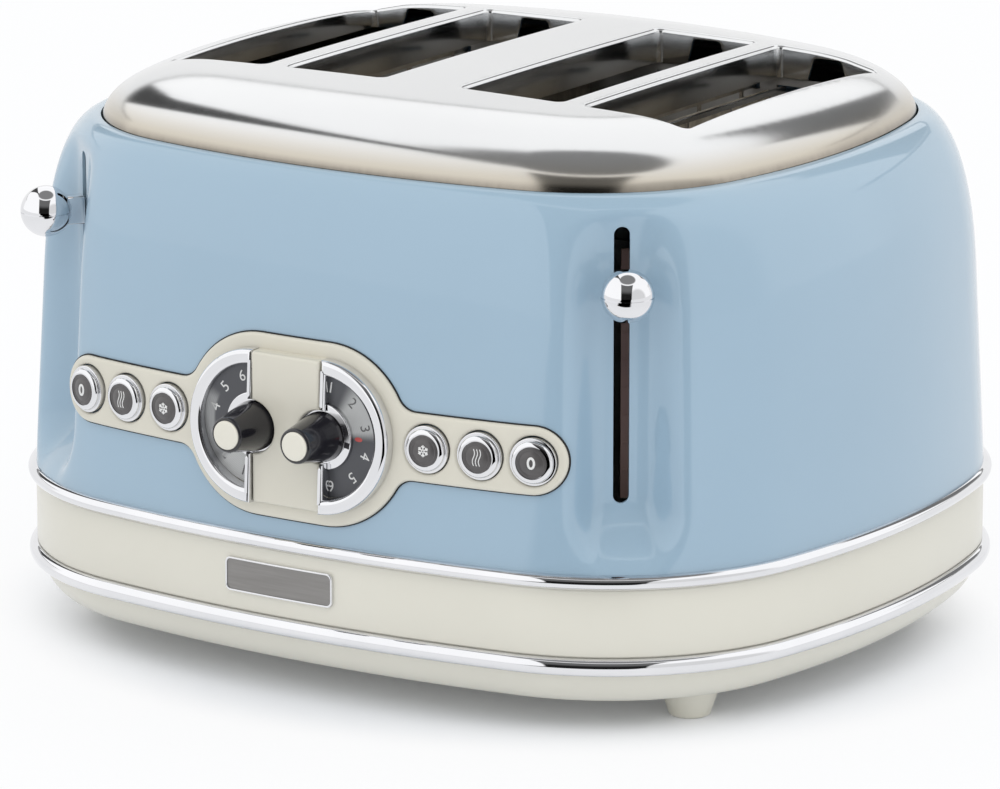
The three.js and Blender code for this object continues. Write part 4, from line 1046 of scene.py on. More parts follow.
def slot_tool(side):
    """An upright slot through a recess floor, as a cutting tool."""
    out, across, foot = recess_frame(side)
    half = LEVER_SLOT_HALF
    loop = path(arc((0.0, LEVER_SLOT_TOP - half), half, 0.0, math.pi, 12),
                arc((0.0, LEVER_SLOT_BOTTOM + half), half, math.pi, 2 * math.pi, 12))
    tool = Mesh()
    reach = SHELL_WALL + OVERRUN
    ends = []
    for along in (-reach, reach):
        flat = foot + out * along + loop[:, :1] * across
        ends.append(np.column_stack((flat, loop[:, 1])))
    tool.bar(ends)
    return tool.data("tool")


def button_place(x):
    """A button's middle on the body, and its direction out of it."""
    y, turn = plan_at(PANEL_Z).front_at(x)
    return np.array((x, y, PANEL_Z)), np.array((math.sin(turn), -math.cos(turn), 0.0))


def button_hole(x, radius):
    """A round hole along a button's way, as a cutting tool."""
    middle, out = button_place(x)
    reach = SHELL_WALL + PLATE_THICKNESS + 2 * OVERRUN
    return rod_data(middle - out * reach, middle + out * reach, radius)


# Cap

def cap_height(x, y):
    """The cap's height over points, rim and crown together."""
    inset = LIP.depth_in(x, y) - LIP_GAP
    left = np.clip(1 - inset / RIM_WIDTH, 0.0, 1.0)
    fall = RIM_HEIGHT * (1 - (1 - left**RIM_POWER) ** (1 / RIM_POWER))
    crown = CROWN_SIDE_FALL * (x / LIP.half_width) ** 2 + CROWN_END_FALL * (y / LIP.half_depth) ** 2
    return CROWN_Z - crown - fall


def on_cap(points):
    """Lays flat points on the cap."""
    return np.column_stack((points, cap_height(points[:, 0], points[:, 1])))


def notch_profile(height):
    """Half of a notch's edge as (distance from its middle, rise), from its foot to its middle."""
    centre = (NOTCH_TOP_HALF - NOTCH_ROUND, height - NOTCH_ROUND)
    round_over = arc(centre, NOTCH_ROUND, NOTCH_LEAN, math.pi / 2, 6)
    return path(run((NOTCH_HALF, 0.0), round_over[0], 3), round_over, run(round_over[-1], (0.0, height), 2))


def slot_outline(x, grow, notch):
    """A slot's rounded outline, anticlockwise, with the notch's points in the middle of its back."""
    corner_x, corner_y = SLOT_HALF_WIDTH - SLOT_CORNER, SLOT_HALF_LENGTH - SLOT_CORNER
    radius = SLOT_CORNER + grow
    half, long = SLOT_HALF_WIDTH + grow, SLOT_HALF_LENGTH + grow
    beside = np.array([(corner_x, long), *((d, long) for d in notch[:, 0])])
    back = np.vstack((beside, (beside * (-1.0, 1.0))[-2::-1]))
    points = path(
        run((half, -corner_y), (half, corner_y), 44),
        arc((corner_x, corner_y), radius, 0.0, math.pi / 2, 6),
        back,
        arc((-corner_x, corner_y), radius, math.pi / 2, math.pi, 6),
        run((-half, corner_y), (-half, -corner_y), 44),
        arc((-corner_x, -corner_y), radius, math.pi, math.pi * 1.5, 6),
        run((-corner_x, -long), (corner_x, -long), 12),
        arc((corner_x, -corner_y), radius, math.pi * 1.5, math.pi * 2, 6)[:-1],
    )
    return points + (x, SLOT_SET_BACK)


def make_top_cap():
    """The rim and crown as one sheet, its slots rolled down into flanges with a notch at the back."""
    cap = Mesh()
    last = math.acos((1 - CROWN_START / RIM_WIDTH) ** (RIM_POWER / 2))
    turns = np.linspace(0.0, last, 19)
    insets = RIM_WIDTH * (1 - np.cos(turns) ** (2 / RIM_POWER))
    rings = [on_cap(LIP.outline(LIP_GAP + inset, CAP_STEPS)) for inset in insets]
    skirt = rings[0].copy()
    skirt[:, 2] = LIP_Z - SKIRT_DEPTH
    cap.rings([skirt, *rings])
    holes = []
    flange_bottom = CROWN_Z - CROWN_SIDE_FALL - FLANGE_DEPTH
    for x in SLOT_XS:
        back_z = cap_height(np.array([x]), np.array([SLOT_SET_BACK + SLOT_HALF_LENGTH]))[0]
        notch = notch_profile(back_z - NOTCH_TOP_DROP - flange_bottom)
        holes.append(slot_outline(x, SLOT_ROLL, notch))
        walls = [on_cap(holes[-1])]
        for turn in np.linspace(0.0, math.pi / 2, 6)[1:]:
            ring = on_cap(slot_outline(x, SLOT_ROLL * (1 - math.sin(turn)), notch))
            ring[:, 2] -= SLOT_ROLL * (1 - math.cos(turn))
            walls.append(ring)
        made = cap.rings(walls)
        foot = walls[-1].copy()
        foot[:, 2] = flange_bottom
        across = np.abs(foot[:, 0] - x)
        in_notch = (foot[:, 1] > SLOT_SET_BACK + SLOT_HALF_LENGTH - MERGE) & (across <= NOTCH_HALF + MERGE)
        order = np.argsort(notch[:, 0])
        rise = np.interp(across, notch[order, 0], notch[order, 1])
        foot[in_notch, 2] += rise[in_notch]
        low = cap.add(foot)
        cap.strip(made[-1], low, 1)
    cap.fill(LIP.outline(LIP_GAP + insets[-1], CAP_STEPS), holes, on_cap, CROWN_SPACING)
    data = thickened(cap.data("cap"), CAP_WALL)
    materials = ("polished_steel", "slot_steel")
    finished("top_cap_steel", data, "housing", materials, "top_cap", 40.0)


# Trims and base

def geometry_tree(name, sockets, kinds, links):
    """Geometry nodes from their input sockets, the nodes' kinds and links of (node, output, node, input).

    They end by making instances real and setting the finish.
    Gives the tree, its inputs' identifiers and its nodes.
    """
    tree = bpy.data.node_groups.new(name, "GeometryNodeTree")
    inputs = {}
    for socket, kind in {**sockets, "Finish": "Material"}.items():
        made = tree.interface.new_socket(socket, in_out="INPUT", socket_type=f"NodeSocket{kind}")
        inputs[socket] = made.identifier
    tree.interface.new_socket("Made", in_out="OUTPUT", socket_type="NodeSocketGeometry")
    kinds = {"in": "NodeGroupInput", "out": "NodeGroupOutput", **kinds,
             "real": "GeometryNodeRealizeInstances", "finish": "GeometryNodeSetMaterial"}
    nodes = {key: tree.nodes.new(kind) for key, kind in kinds.items()}
    ending = (("real", "Geometry", "finish", "Geometry"), ("in", "Finish", "finish", "Material"),
              ("finish", "Geometry", "out", "Made"))
    for start, output, end, socket in (*links, *ending):
        tree.links.new(nodes[start].outputs[output], nodes[end].inputs[socket])
    return tree, inputs, nodes


def trim_tree():
    """Geometry nodes that run an oval bar along an outline."""
    tree, inputs, nodes = geometry_tree(
        "trim_bar",
        {"Outline": "Geometry", "Bar Depth": "Float", "Bar Height": "Float"},
        {"line": "GeometryNodeMeshToCurve", "upright": "GeometryNodeSetCurveNormal",
         "circle": "GeometryNodeCurvePrimitiveCircle", "size": "ShaderNodeCombineXYZ",
         "oval": "GeometryNodeTransform", "bar": "GeometryNodeCurveToMesh"},
        (("in", "Outline", "line", "Mesh"), ("line", "Curve", "upright", "Curve"),
         ("in", "Bar Depth", "size", "X"), ("in", "Bar Height", "size", "Y"),
         ("circle", "Curve", "oval", "Geometry"), ("size", "Vector", "oval", "Scale"),
         ("upright", "Curve", "bar", "Curve"), ("oval", "Geometry", "bar", "Profile Curve"),
         ("bar", "Mesh", "real", "Geometry")))
    nodes["upright"].mode = "Z_UP"
    nodes["circle"].inputs["Resolution"].default_value = TRIM_SIDES
    nodes["circle"].inputs["Radius"].default_value = 1.0
    return tree, inputs


def row_tree():
    """Geometry nodes that repeat a shape along a straight row."""
    return geometry_tree(
        "row",
        {"Shape": "Geometry", "Count": "Int", "Step": "Vector"},
        {"line": "GeometryNodeMeshLine", "place": "GeometryNodeInstanceOnPoints"},
        (("in", "Count", "line", "Count"), ("in", "Step", "line", "Offset"),
         ("line", "Mesh", "place", "Points"), ("in", "Shape", "place", "Instance"),
         ("place", "Instances", "real", "Geometry")))[:2]


def grown(data, tree, inputs, values):
    """A mesh run through geometry nodes with the values of their inputs, as a plain mesh."""
    start = linked("grown", data)
    nodes = start.modifiers.new("nodes", "NODES")
    nodes.node_group = tree
    for name, value in values.items():
        nodes[inputs[name]] = value
    return as_mesh(start)


def row_of(shape, count, step, material):
    """A gathered shape repeated count times, as one plain mesh."""
    return grown(shape.data("row"), *ROW, {"Count": count, "Step": step, "Finish": FINISH[material]})


ROW = row_tree()


def make_base_screws():
    """Two rows of screws that hold the pan."""
    for place, along in (("front", -1), ("back", 1)):
        screw = Mesh()
        low = PAN_LOW.z - SCREW_PROUD
        dome = [(SCREW_RADIUS * math.sin(a), PAN_LOW.z - SCREW_PROUD * math.cos(a))
                for a in np.linspace(SCREW_DIMPLE / SCREW_RADIUS, math.pi / 2, 8)]
        profile = [(0.0, low + SCREW_DIMPLE), (SCREW_DIMPLE, low + SCREW_DIMPLE), *dome,
                   (SCREW_RADIUS, PAN_LOW.z + SEAT_GAP), (0.0, PAN_LOW.z + SEAT_GAP)]
        turned(screw, profile, (-SCREW_X, along * SCREW_Y, 0.0), (0.0, 0.0, 1.0), 20)
        data = row_of(screw, 2, (2 * SCREW_X, 0.0, 0.0), "bright_wire")
        finished(f"base_screws_{place}", data, "housing", ("bright_wire",), None)


def make_heater_ribbons():
    """Flat heater wire wound round each mica card."""
    for k in range(1, CARD_COUNT + 1):
        low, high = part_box(f"heater_card_{k}")
        ribbon = Mesh()
        foot = low.z + RIBBON_MARGIN
        loops = []
        for out, z in ((SKIN_GAP, foot), (RIBBON_PROUD, foot), (RIBBON_PROUD, foot + RIBBON_WIDTH),
                       (SKIN_GAP, foot + RIBBON_WIDTH)):
            across = (low.x - out, high.x + out)
            along = (low.y - CENTRE_Y - out, high.y - CENTRE_Y + out)
            loops.append([(across[i], along[j], z) for i, j in ((0, 0), (1, 0), (1, 1), (0, 1))])
        ribbon.rings(loops, around=True)
        count = int((high.z - low.z - 2 * RIBBON_MARGIN) / RIBBON_PITCH) + 1
        data = row_of(ribbon, count, (0.0, 0.0, RIBBON_PITCH), "heater_ribbon")
        finished(f"heater_ribbon_{k}", data, "housing", ("heater_ribbon",), None)


def make_trims():
    """The two chrome beads round the base."""
    tree, inputs = trim_tree()
    for name, low, high in (("upper_trim", UPPER_TRIM_LOW, UPPER_TRIM_HIGH),
                            ("lower_trim", LOWER_TRIM_LOW, LOWER_TRIM_HIGH)):
        ring = level(BODY.outline(0.0, BASE_STEPS), (low.z + high.z) / 2) + (0.0, CENTRE_Y, 0.0)
        line = bpy.data.meshes.new(name + "_line")
        count = len(ring)
        line.from_pydata(ring.tolist(), [(i, (i + 1) % count) for i in range(count)], [])
        size = {"Bar Depth": high.x - SHELL_HIGH.x, "Bar Height": (high.z - low.z) / 2,
                "Finish": FINISH["chrome"]}
        bead = grown(line, tree, inputs, size)
        finished(name + "_bead", bead, "housing", ("chrome",), name, 60.0)


def make_base_band():
    """The cream band, open at the back for the crumb trays and the cord gland."""
    band = Mesh()
    edge = rounding(BAND_EDGE, 4)
    outside = [(inset, BAND_LOW.z + drop) for inset, drop in edge[::-1]]
    outside += [(inset, BAND_HIGH.z - drop) for inset, drop in edge]
    rings = [level(BODY.outline(inset, BASE_STEPS), z) for inset, z in outside]
    rings += [level(BODY.outline(BAND_WALL, BASE_STEPS), z) for z in (BAND_HIGH.z, BAND_LOW.z)]
    band.rings(rings, around=True)
    tools = []
    for _, side in HANDS:
        ends = sorted((side * (TRAY_INNER - TRAY_GAP), side * (TRAY_OUTER + TRAY_GAP)))
        tools.append(box_data((ends[0], SLOT_SET_BACK + SLOT_HALF_LENGTH, TRAY_LOW.z - TRAY_GAP),
                              (ends[1], BODY.half_depth + OVERRUN, TRAY_HIGH.z + TRAY_GAP)))
    tools.append(rod_data((0.0, BODY.half_depth - BAND_WALL - OVERRUN, GLAND_Z),
                          (0.0, BODY.half_depth + OVERRUN, GLAND_Z), GLAND_HOLE))
    data = carved(band.data("band"), tools)
    finished("base_band_cream", data, "housing", ("cream_plastic",), "base_band")


def pan_inset(share):
    """How far in the pan has come at a share of the way down."""
    return PAN_INSET + (PAN_BOTTOM_INSET - PAN_INSET) * (1 - math.sqrt(max(1 - share * share, 0.0)))


def make_base_pan():
    """The cream dish with its vents."""
    pan = Mesh()
    height = PAN_HIGH.z - PAN_LOW.z
    shares = np.sin(np.linspace(0.0, math.pi / 2, 16))
    rings = [level(BODY.outline(pan_inset(s), BASE_STEPS), PAN_HIGH.z - height * s) for s in shares]
    inner = shares[shares < 1 - PAN_WALL / height]
    made = pan.rings([*(level(BODY.outline(pan_inset(s) + PAN_WALL, BASE_STEPS), PAN_HIGH.z - height * s)
                        for s in inner[::-1]), *rings])
    floor_ring = level(BODY.outline(pan_inset(inner[-1]) + PAN_WALL, BASE_STEPS), PAN_FLOOR)
    low = pan.add(floor_ring)
    pan.strip(low, made[0])
    pan.face(low)
    pan.face(made[-1])
    vents = []
    middle = (TRAY_INNER + TRAY_OUTER) / 2
    for _, side in HANDS:
        x = side * middle
        for i in range(VENT_COUNT):
            y = (i - (VENT_COUNT - 1) / 2) * VENT_PITCH
            vents.append(box_data((x - VENT_HALF_LENGTH, y - VENT_HALF_WIDTH, PAN_LOW.z - OVERRUN),
                                  (x + VENT_HALF_LENGTH, y + VENT_HALF_WIDTH, PAN_FLOOR + OVERRUN)))
    data = carved(pan.data("pan"), vents)
    finished("base_pan_cream", data, "housing", ("cream_plastic",), "base_pan")


def make_feet():
    """Four tapered feet."""
    for place, along in (("front", -1), ("back", 1)):
        for hand, side in HANDS:
            name = f"foot_{place}_{hand}"
            foot = Mesh()
            sole = [(FOOT_BOTTOM_RADIUS - FOOT_EDGE + FOOT_EDGE * math.sin(a), FOOT_EDGE * (1 - math.cos(a)))
                    for a in np.linspace(0.0, math.pi / 2, 7)]
            top = PAN_LOW.z + FOOT_SINK
            profile = [(0.0, 0.0), *sole, (FOOT_TOP_RADIUS, top), (0.0, top)]
            turned(foot, profile, (side * FOOT_X, along * FOOT_Y, 0.0), (0.0, 0.0, 1.0), 64)
            foot.piece(f"{name}_cream", "housing", ("cream_plastic",), name)


def make_gland():
    """The rubber grommet at the back."""
    gland = Mesh()
    front = BODY.half_depth
    flange = front + GLAND_FLANGE + SEAT_GAP
    round_over = [(GLAND_FLANGE_RADIUS - inset, flange - drop) for inset, drop in rounding(GLAND_EDGE)]
    profile = [
        (GLAND_BORE, front - BAND_WALL - GLAND_FLANGE), (GLAND_RADIUS, front - BAND_WALL - GLAND_FLANGE),
        (GLAND_RADIUS, front + SEAT_GAP), (GLAND_FLANGE_RADIUS, front + SEAT_GAP), *round_over,
        (GLAND_BORE + GLAND_EDGE, flange), (GLAND_BORE, flange - GLAND_EDGE),
    ]
    turned(gland, profile, (0.0, 0.0, GLAND_Z), (0.0, 1.0, 0.0), 48, around=True)
    gland.piece("cord_gland_rubber", "housing", ("gland_rubber",), "cord_gland")


# Control panel

def plate_outline(grow):
    """The control plate: two round lobes in the middle and an arm to each side."""
    fillet_v = ARM_HALF + ARM_FILLET
    reach = math.sqrt((LOBE_RADIUS + ARM_FILLET)**2 - fillet_v**2)
    meet = math.atan2(fillet_v, reach)
    fillet_x = DIAL_X + reach
    end_x = ARM_REACH - ARM_HALF
    return four_ways(path(
        arc((end_x, 0.0), ARM_HALF + grow, 0.0, math.pi / 2, 14),
        run((end_x, ARM_HALF + grow), (fillet_x, ARM_HALF + grow), 12),
        arc((fillet_x, fillet_v), ARM_FILLET - grow, -math.pi / 2, meet - math.pi, 8),
        arc((DIAL_X, 0.0), LOBE_RADIUS + grow, meet, math.pi / 2, 14),
        run((DIAL_X, LOBE_RADIUS + grow), (0.0, LOBE_RADIUS + grow), 4),
    ))


def window_outline(grow):
    """The window over both dials."""
    radius = WINDOW_RADIUS + grow
    return path(
        arc((DIAL_X, 0.0), radius, -math.pi / 2, math.pi / 2, 36),
        run((DIAL_X, radius), (-DIAL_X, radius), 8),
        arc((-DIAL_X, 0.0), radius, math.pi / 2, math.pi * 1.5, 36),
        run((-DIAL_X, -radius), (DIAL_X, -radius), 8)[:-1],
    )


def hole_outline(x):
    """A button's hole, narrowed by the turn of the body there."""
    shrink = -button_place(x)[1][1]

    def outline(grow):
        return circle((0.0, 0.0), BUTTON_RADIUS + BUTTON_HOLE_GAP + grow, 40) * (shrink, 1.0) + (x, 0.0)
    return outline


def make_control_plate():
    """The cream plate, a dark strip round it as painted shade for the shadow under its edge, and the raised
    strip between the dials.
    """
    plate = Mesh()
    face = PLATE_GAP + PLATE_THICKNESS
    holes = [window_outline, *(hole_outline(x) for x in BUTTON_XS)]
    pressed(plate, plate_outline, holes, soft_edged(on_body, PLATE_GAP, face, PLATE_EDGE), PLATE_SPACING)
    plate.piece("control_plate_cream", "housing", ("cream_panel",), "control_plate")
    # A dark strip round the plate's foot in the gland's dark rubber finish: painted shade for the shadow
    # under the plate's edge
    shadow_line = Mesh()
    shadow_line_face = PLATE_GAP + SHADOW_LINE_RISE
    corners = ((SHADOW_LINE_PROUD, HAIR_GAP), (SHADOW_LINE_PROUD, shadow_line_face),
               (HAIR_GAP, shadow_line_face), (HAIR_GAP, HAIR_GAP))
    shadow_line.rings([on_body(proud)(plate_outline(grow)) for grow, proud in corners], around=True)
    shadow_line.piece("plate_shadow_line_black", "housing", ("gland_rubber",), None)
    strip = Mesh()
    pressed(strip, strip_outline, [], soft_edged(on_plane, STRIP_BACK, STRIP_FACE, STRIP_EDGE))
    for end in (-1, 1):
        steps = [(0.0, on_body(face - BED_GAP)), (0.0, on_plane(STRIP_BACK + BED_GAP))]
        pressed(strip, strip_foot(end), [], steps)
    strip.piece("control_strip_cream", "housing", ("cream_panel",), "control_plate")


def strip_outline(grow):
    """The strip between the dials, bitten by the two knobs."""
    half, tall = DIAL_X - STRIP_SIDE_GAP + grow, STRIP_HALF_HEIGHT + grow
    bite = KNOB_RADIUS + KNOB_CLEARANCE - grow
    off = math.acos((DIAL_X - half) / bite)
    corner = STRIP_CORNER
    return path(
        arc((-DIAL_X, 0.0), bite, -off, off, 20),
        run((-half, bite * math.sin(off)), (-half, tall - corner), 3),
        arc((corner - half, tall - corner), corner, math.pi, math.pi / 2, 5),
        arc((half - corner, tall - corner), corner, math.pi / 2, 0.0, 5),
        run((half, tall - corner), (half, bite * math.sin(off)), 3),
        arc((DIAL_X, 0.0), bite, math.pi - off, math.pi + off, 20),
        run((half, -bite * math.sin(off)), (half, corner - tall), 3),
        arc((half - corner, corner - tall), corner, 0.0, -math.pi / 2, 5),
        arc((corner - half, corner - tall), corner, -math.pi / 2, -math.pi, 5),
        run((-half, corner - tall), (-half, -bite * math.sin(off)), 3)[:-1],
    )


def strip_foot(end):
    """The strip's upper or lower end, down to the plate."""
    def outline(grow):
        half = DIAL_X - STRIP_SIDE_GAP + grow
        low, high = WINDOW_RADIUS + SEAT_GAP - grow, STRIP_HALF_HEIGHT + grow
        return path(run((-half, end * low), (half, end * low), 6),
                    run((half, end * high), (-half, end * high), 6))
    return outline


def frame_outline(side):
    """The D round a dial's window: half a ring, and a bar that stops short of the knob."""
    def outline(grow):
        outer, inner = FRAME_RADIUS + grow, WINDOW_RADIUS - grow
        bite = KNOB_RADIUS + KNOB_CLEARANCE - grow
        edge, bar = -grow, FRAME_BAR + grow
        start = math.acos(edge / outer)
        within = math.acos(bar / inner)
        knob_out, knob_in = math.acos(edge / bite), math.acos(bar / bite)
        loop = path(
            arc((0.0, 0.0), outer, -start, start, 60),
            run((edge, outer * math.sin(start)), (edge, bite * math.sin(knob_out)), 4),
            arc((0.0, 0.0), bite, knob_out, knob_in, 4),
            run((bar, bite * math.sin(knob_in)), (bar, inner * math.sin(within)), 4),
            arc((0.0, 0.0), inner, within, -within, 60),
            run((bar, -inner * math.sin(within)), (bar, -bite * math.sin(knob_in)), 4),
            arc((0.0, 0.0), bite, -knob_in, -knob_out, 4),
            run((edge, -bite * math.sin(knob_out)), (edge, -outer * math.sin(start)), 4)[:-1],
        )
        return loop * (side, 1.0) + (side * DIAL_X, 0.0)
    return outline


def make_dials():
    """The chrome D frames and the sheet that both dials are printed on."""
    foot = PLATE_GAP + PLATE_THICKNESS + PLATE_GAP
    proud = FRAME_FACE + plan_at(PANEL_Z).front_at(DIAL_X)[0]
    under = SCALE_FACE + SKIRT_LIFT + SKIRT_THICKNESS + SEAT_GAP
    for hand, side in HANDS:
        x = side * DIAL_X
        ring = Mesh()
        pressed(ring, frame_outline(side), [], soft_edged(on_body, foot, proud, FRAME_EDGE))
        room = rod_data((x, -SCALE_FACE, PANEL_Z), (x, -under, PANEL_Z), SKIRT_RADIUS + SEAT_GAP, 72)
        name = f"dial_frame_{hand}"
        data = carved(ring.data("frame"), [room])
        finished(f"{name}_chrome", data, "housing", ("chrome",), name)
    scale = Mesh()
    shaft_holes = [shaft_hole(side) for _, side in HANDS]
    pressed(scale, lambda grow: window_outline(grow - HAIR_GAP), shaft_holes,
            [(0.0, on_plane(SCALE_FACE - SCALE_THICKNESS)), (0.0, on_plane(SCALE_FACE))])
    scale.piece("dial_scale_sheet", "housing", ("dial_scale",), "dial_scale")
    make_numbers()


def shaft_hole(side):
    """A knob shaft's hole through the dial sheet."""
    def outline(grow):
        return circle((side * DIAL_X, 0.0), SHAFT_RADIUS + KNOB_CLEARANCE + grow, 24)
    return outline


def make_numbers():
    """Raised numbers round each dial."""
    stood = Matrix.Rotation(math.pi / 2, 4, "X")
    for (hand, side), (first, step) in zip(HANDS, ((LEFT_FIRST, LEFT_STEP), (RIGHT_FIRST, RIGHT_STEP))):
        parts = bmesh.new()
        for k in range(NUMBER_COUNT):
            angle = math.radians(first + step * k)
            text = bpy.data.curves.new("number", "FONT")
            text.body = str(k + 1)
            text.size, text.extrude = NUMBER_SIZE, NUMBER_RISE
            text.align_x, text.align_y = "CENTER", "CENTER"
            digit = as_mesh(linked("number", text))
            upright = Matrix.Rotation(angle - math.pi / 2, 4, "Z")
            middle = Vector((side * DIAL_X + NUMBER_RADIUS * math.cos(angle), CENTRE_Y - SCALE_FACE,
                             PANEL_Z + NUMBER_RADIUS * math.sin(angle)))
            digit.transform(Matrix.Translation(middle) @ stood @ upright)
            parts.from_mesh(digit)
        data = bpy.data.meshes.new("numbers")
        parts.to_mesh(data)
        parts.free()
        finished(f"dial_numbers_{hand}", data, "housing", ("dial_print",), None)


def make_red_mark():
    """The small red mark beside 3 on the right dial."""
    mark = Mesh()
    middle = (DIAL_X + RED_REACH * math.cos(RED_ANGLE), RED_REACH * math.sin(RED_ANGLE))
    oval = circle((0.0, 0.0), 1.0, 24) * RED_HALF + middle
    mark.bar([on_plane(SCALE_FACE + PRINT_RISE * a)(oval) for a in (-1, 1)])
    mark.piece("dial_red_mark", "housing", ("red_mark",), None)


def make_knobs():
    """The two knobs, each a pointer ring, a tapered grip and an end cap that turn together."""
    for hand, side in HANDS:
        origin = (side * DIAL_X, 0.0, PANEL_Z)
        make_knob_skirt(hand, origin)
        make_knob_pointer(hand, side)
        make_knob_grip(hand, origin)
        make_knob_cap(hand, origin)


def make_knob_skirt(hand, origin):
    skirt = Mesh()
    edge = [(SKIRT_RADIUS - inset, KNOB_BASE - drop) for inset, drop in rounding(SKIRT_EDGE)]
    bore = SHAFT_RADIUS + SEAT_GAP
    profile = [(bore, SKIRT_BACK), (SKIRT_RADIUS, SKIRT_BACK), *edge, (bore, KNOB_BASE)]
    turned(skirt, profile, origin, KNOB_AXIS, 72, around=True)
    name = f"knob_skirt_{hand}"
    skirt.piece(f"{name}_chrome", f"knob_{hand}", ("chrome",), name)


def make_knob_pointer(hand, side):
    """The dark square on a knob's ring."""
    pointer = Mesh()
    angle = math.radians(POINTER_ANGLE)
    radial = np.array((side * math.cos(angle), math.sin(angle)))
    beside = np.array((-radial[1], radial[0]))
    middle = np.array((side * DIAL_X, 0.0)) + radial * POINTER_RADIUS
    corners = np.array([middle + radial * a * POINTER_HALF + beside * b * POINTER_HALF
                        for a, b in ((-1, -1), (1, -1), (1, 1), (-1, 1))])
    pointer.bar([on_plane(KNOB_BASE - POINTER_SINK)(corners), on_plane(KNOB_BASE + POINTER_RISE)(corners)])
    pointer.piece(f"knob_pointer_{hand}", f"knob_{hand}", ("black_gloss",), None)


def make_knob_grip(hand, origin):
    """The black taper and the shaft behind it, which ends in the control board's pot."""
    grip = Mesh()
    round_over = [(KNOB_TIP_RADIUS - inset, KNOB_TIP - drop) for inset, drop in rounding(KNOB_EDGE)]
    seat = KNOB_CAP_RADIUS + SEAT_GAP
    shaft_end = BOARD_FRONT + SHAFT_IN_POT
    profile = [(0.0, shaft_end), (SHAFT_RADIUS, shaft_end), (SHAFT_RADIUS, KNOB_BASE + PLATE_GAP),
               (KNOB_RADIUS - KNOB_FOOT_EDGE, KNOB_BASE + SKIN_GAP),
               (KNOB_RADIUS, KNOB_BASE + KNOB_FOOT_EDGE),
               ((KNOB_RADIUS + KNOB_TIP_RADIUS) / 2, KNOB_BASE + KNOB_LENGTH / 2), *round_over,
               (seat, KNOB_TIP), (seat, KNOB_CAP_BACK), (0.0, KNOB_CAP_BACK)]
    turned(grip, profile, origin, KNOB_AXIS, 72)
    name = f"knob_body_{hand}"
    grip.piece(f"{name}_black", f"knob_{hand}", ("black_gloss",), name, 50.0)


def make_knob_cap(hand, origin):
    """The cream button in the end of a grip."""
    cap = Mesh()
    near = KNOB_TIP + KNOB_CAP_PROUD
    crown = [(KNOB_CAP_RADIUS * math.sin(a), near - KNOB_CAP_CROWN * (1 - math.cos(a)) ** KNOB_CAP_POWER)
             for a in np.linspace(math.pi / 2, 0.0, 14)]
    profile = [(0.0, KNOB_CAP_BACK), (KNOB_CAP_RADIUS, KNOB_CAP_BACK), *crown[:-1], (0.0, near)]
    turned(cap, profile, origin, KNOB_AXIS, 64)
    name = f"knob_cap_{hand}"
    cap.piece(f"{name}_cream", f"knob_{hand}", ("cream_cap",), name, 60.0)


def make_buttons():
    """Six chrome push buttons, each with a dark grooved face and its sign."""
    face = PLATE_GAP + PLATE_THICKNESS
    near = face + BUTTON_PROUD
    for k, (x, sign) in enumerate(zip(BUTTON_XS, BUTTON_SIGNS), 1):
        middle, out = button_place(x)
        button = Mesh()
        turned(button, button_profile(near, face + BUTTON_SKIRT_PROUD), middle, out, 64)
        button.piece(f"button_{k}_chrome", f"push_{k}", ("chrome",), f"button_{k}", 50.0)
        flat = near + BUTTON_FACE_PROUD - BUTTON_FACE_CROWN
        disc = Mesh()
        turned(disc, face_profile(near, flat), middle, out, 64)
        name = f"button_face_{k}"
        disc.piece(f"{name}_dark", f"push_{k}", ("button_face",), name, 60.0)
        make_sign(k, sign, middle, out, flat)


def button_profile(near, step):
    """A button from its stem's end, over its skirt and round ring, to the seat of its face."""
    back = step - BUTTON_SKIRT_DEPTH
    stem = near - BUTTON_STEM_LENGTH
    rim = BUTTON_RING_RADIUS - BUTTON_ROUND_WIDTH
    seat = BUTTON_FACE_RADIUS + BUTTON_GROOVE
    bottom = near - BUTTON_FACE_DEPTH
    skirt = [(BUTTON_SKIRT_RADIUS - inset, step - drop) for inset, drop in rounding(BUTTON_UNDERCUT)]
    dome = [(rim + BUTTON_ROUND_WIDTH * math.cos(a), near - BUTTON_ROUND_DEPTH * (1 - math.sin(a)))
            for a in np.linspace(BUTTON_ROUND_START, math.pi / 2, 15)]
    return [(0.0, stem), (BUTTON_STEM_RADIUS, stem), (BUTTON_STEM_RADIUS, back), (BUTTON_SKIRT_RADIUS, back),
            *skirt, (BUTTON_RING_RADIUS - BUTTON_UNDERCUT, step), *dome,
            (seat, near), (seat, bottom), (0.0, bottom)]


def face_profile(near, flat):
    """A button's dark face with its two grooves, from its back to its crowned middle."""
    back = near - BUTTON_FACE_DEPTH
    profile = [(0.0, back), (BUTTON_FACE_RADIUS, back), (BUTTON_FACE_RADIUS, flat - BUTTON_GROOVE)]
    for radius in BUTTON_FACE_GROOVES:
        profile += [(radius + a * BUTTON_GROOVE, face_rise(radius) + flat - b * BUTTON_GROOVE)
                    for a, b in BUTTON_GROOVE_SHAPE]
    inner = BUTTON_FACE_GROOVES[-1] / 2
    return [*profile, (inner, flat + face_rise(inner)), (0.0, flat + BUTTON_FACE_CROWN)]


def face_rise(radius):
    """How far a button's face is crowned at a distance from its middle."""
    return BUTTON_FACE_CROWN * (1 - (radius / BUTTON_FACE_RADIUS)**2)


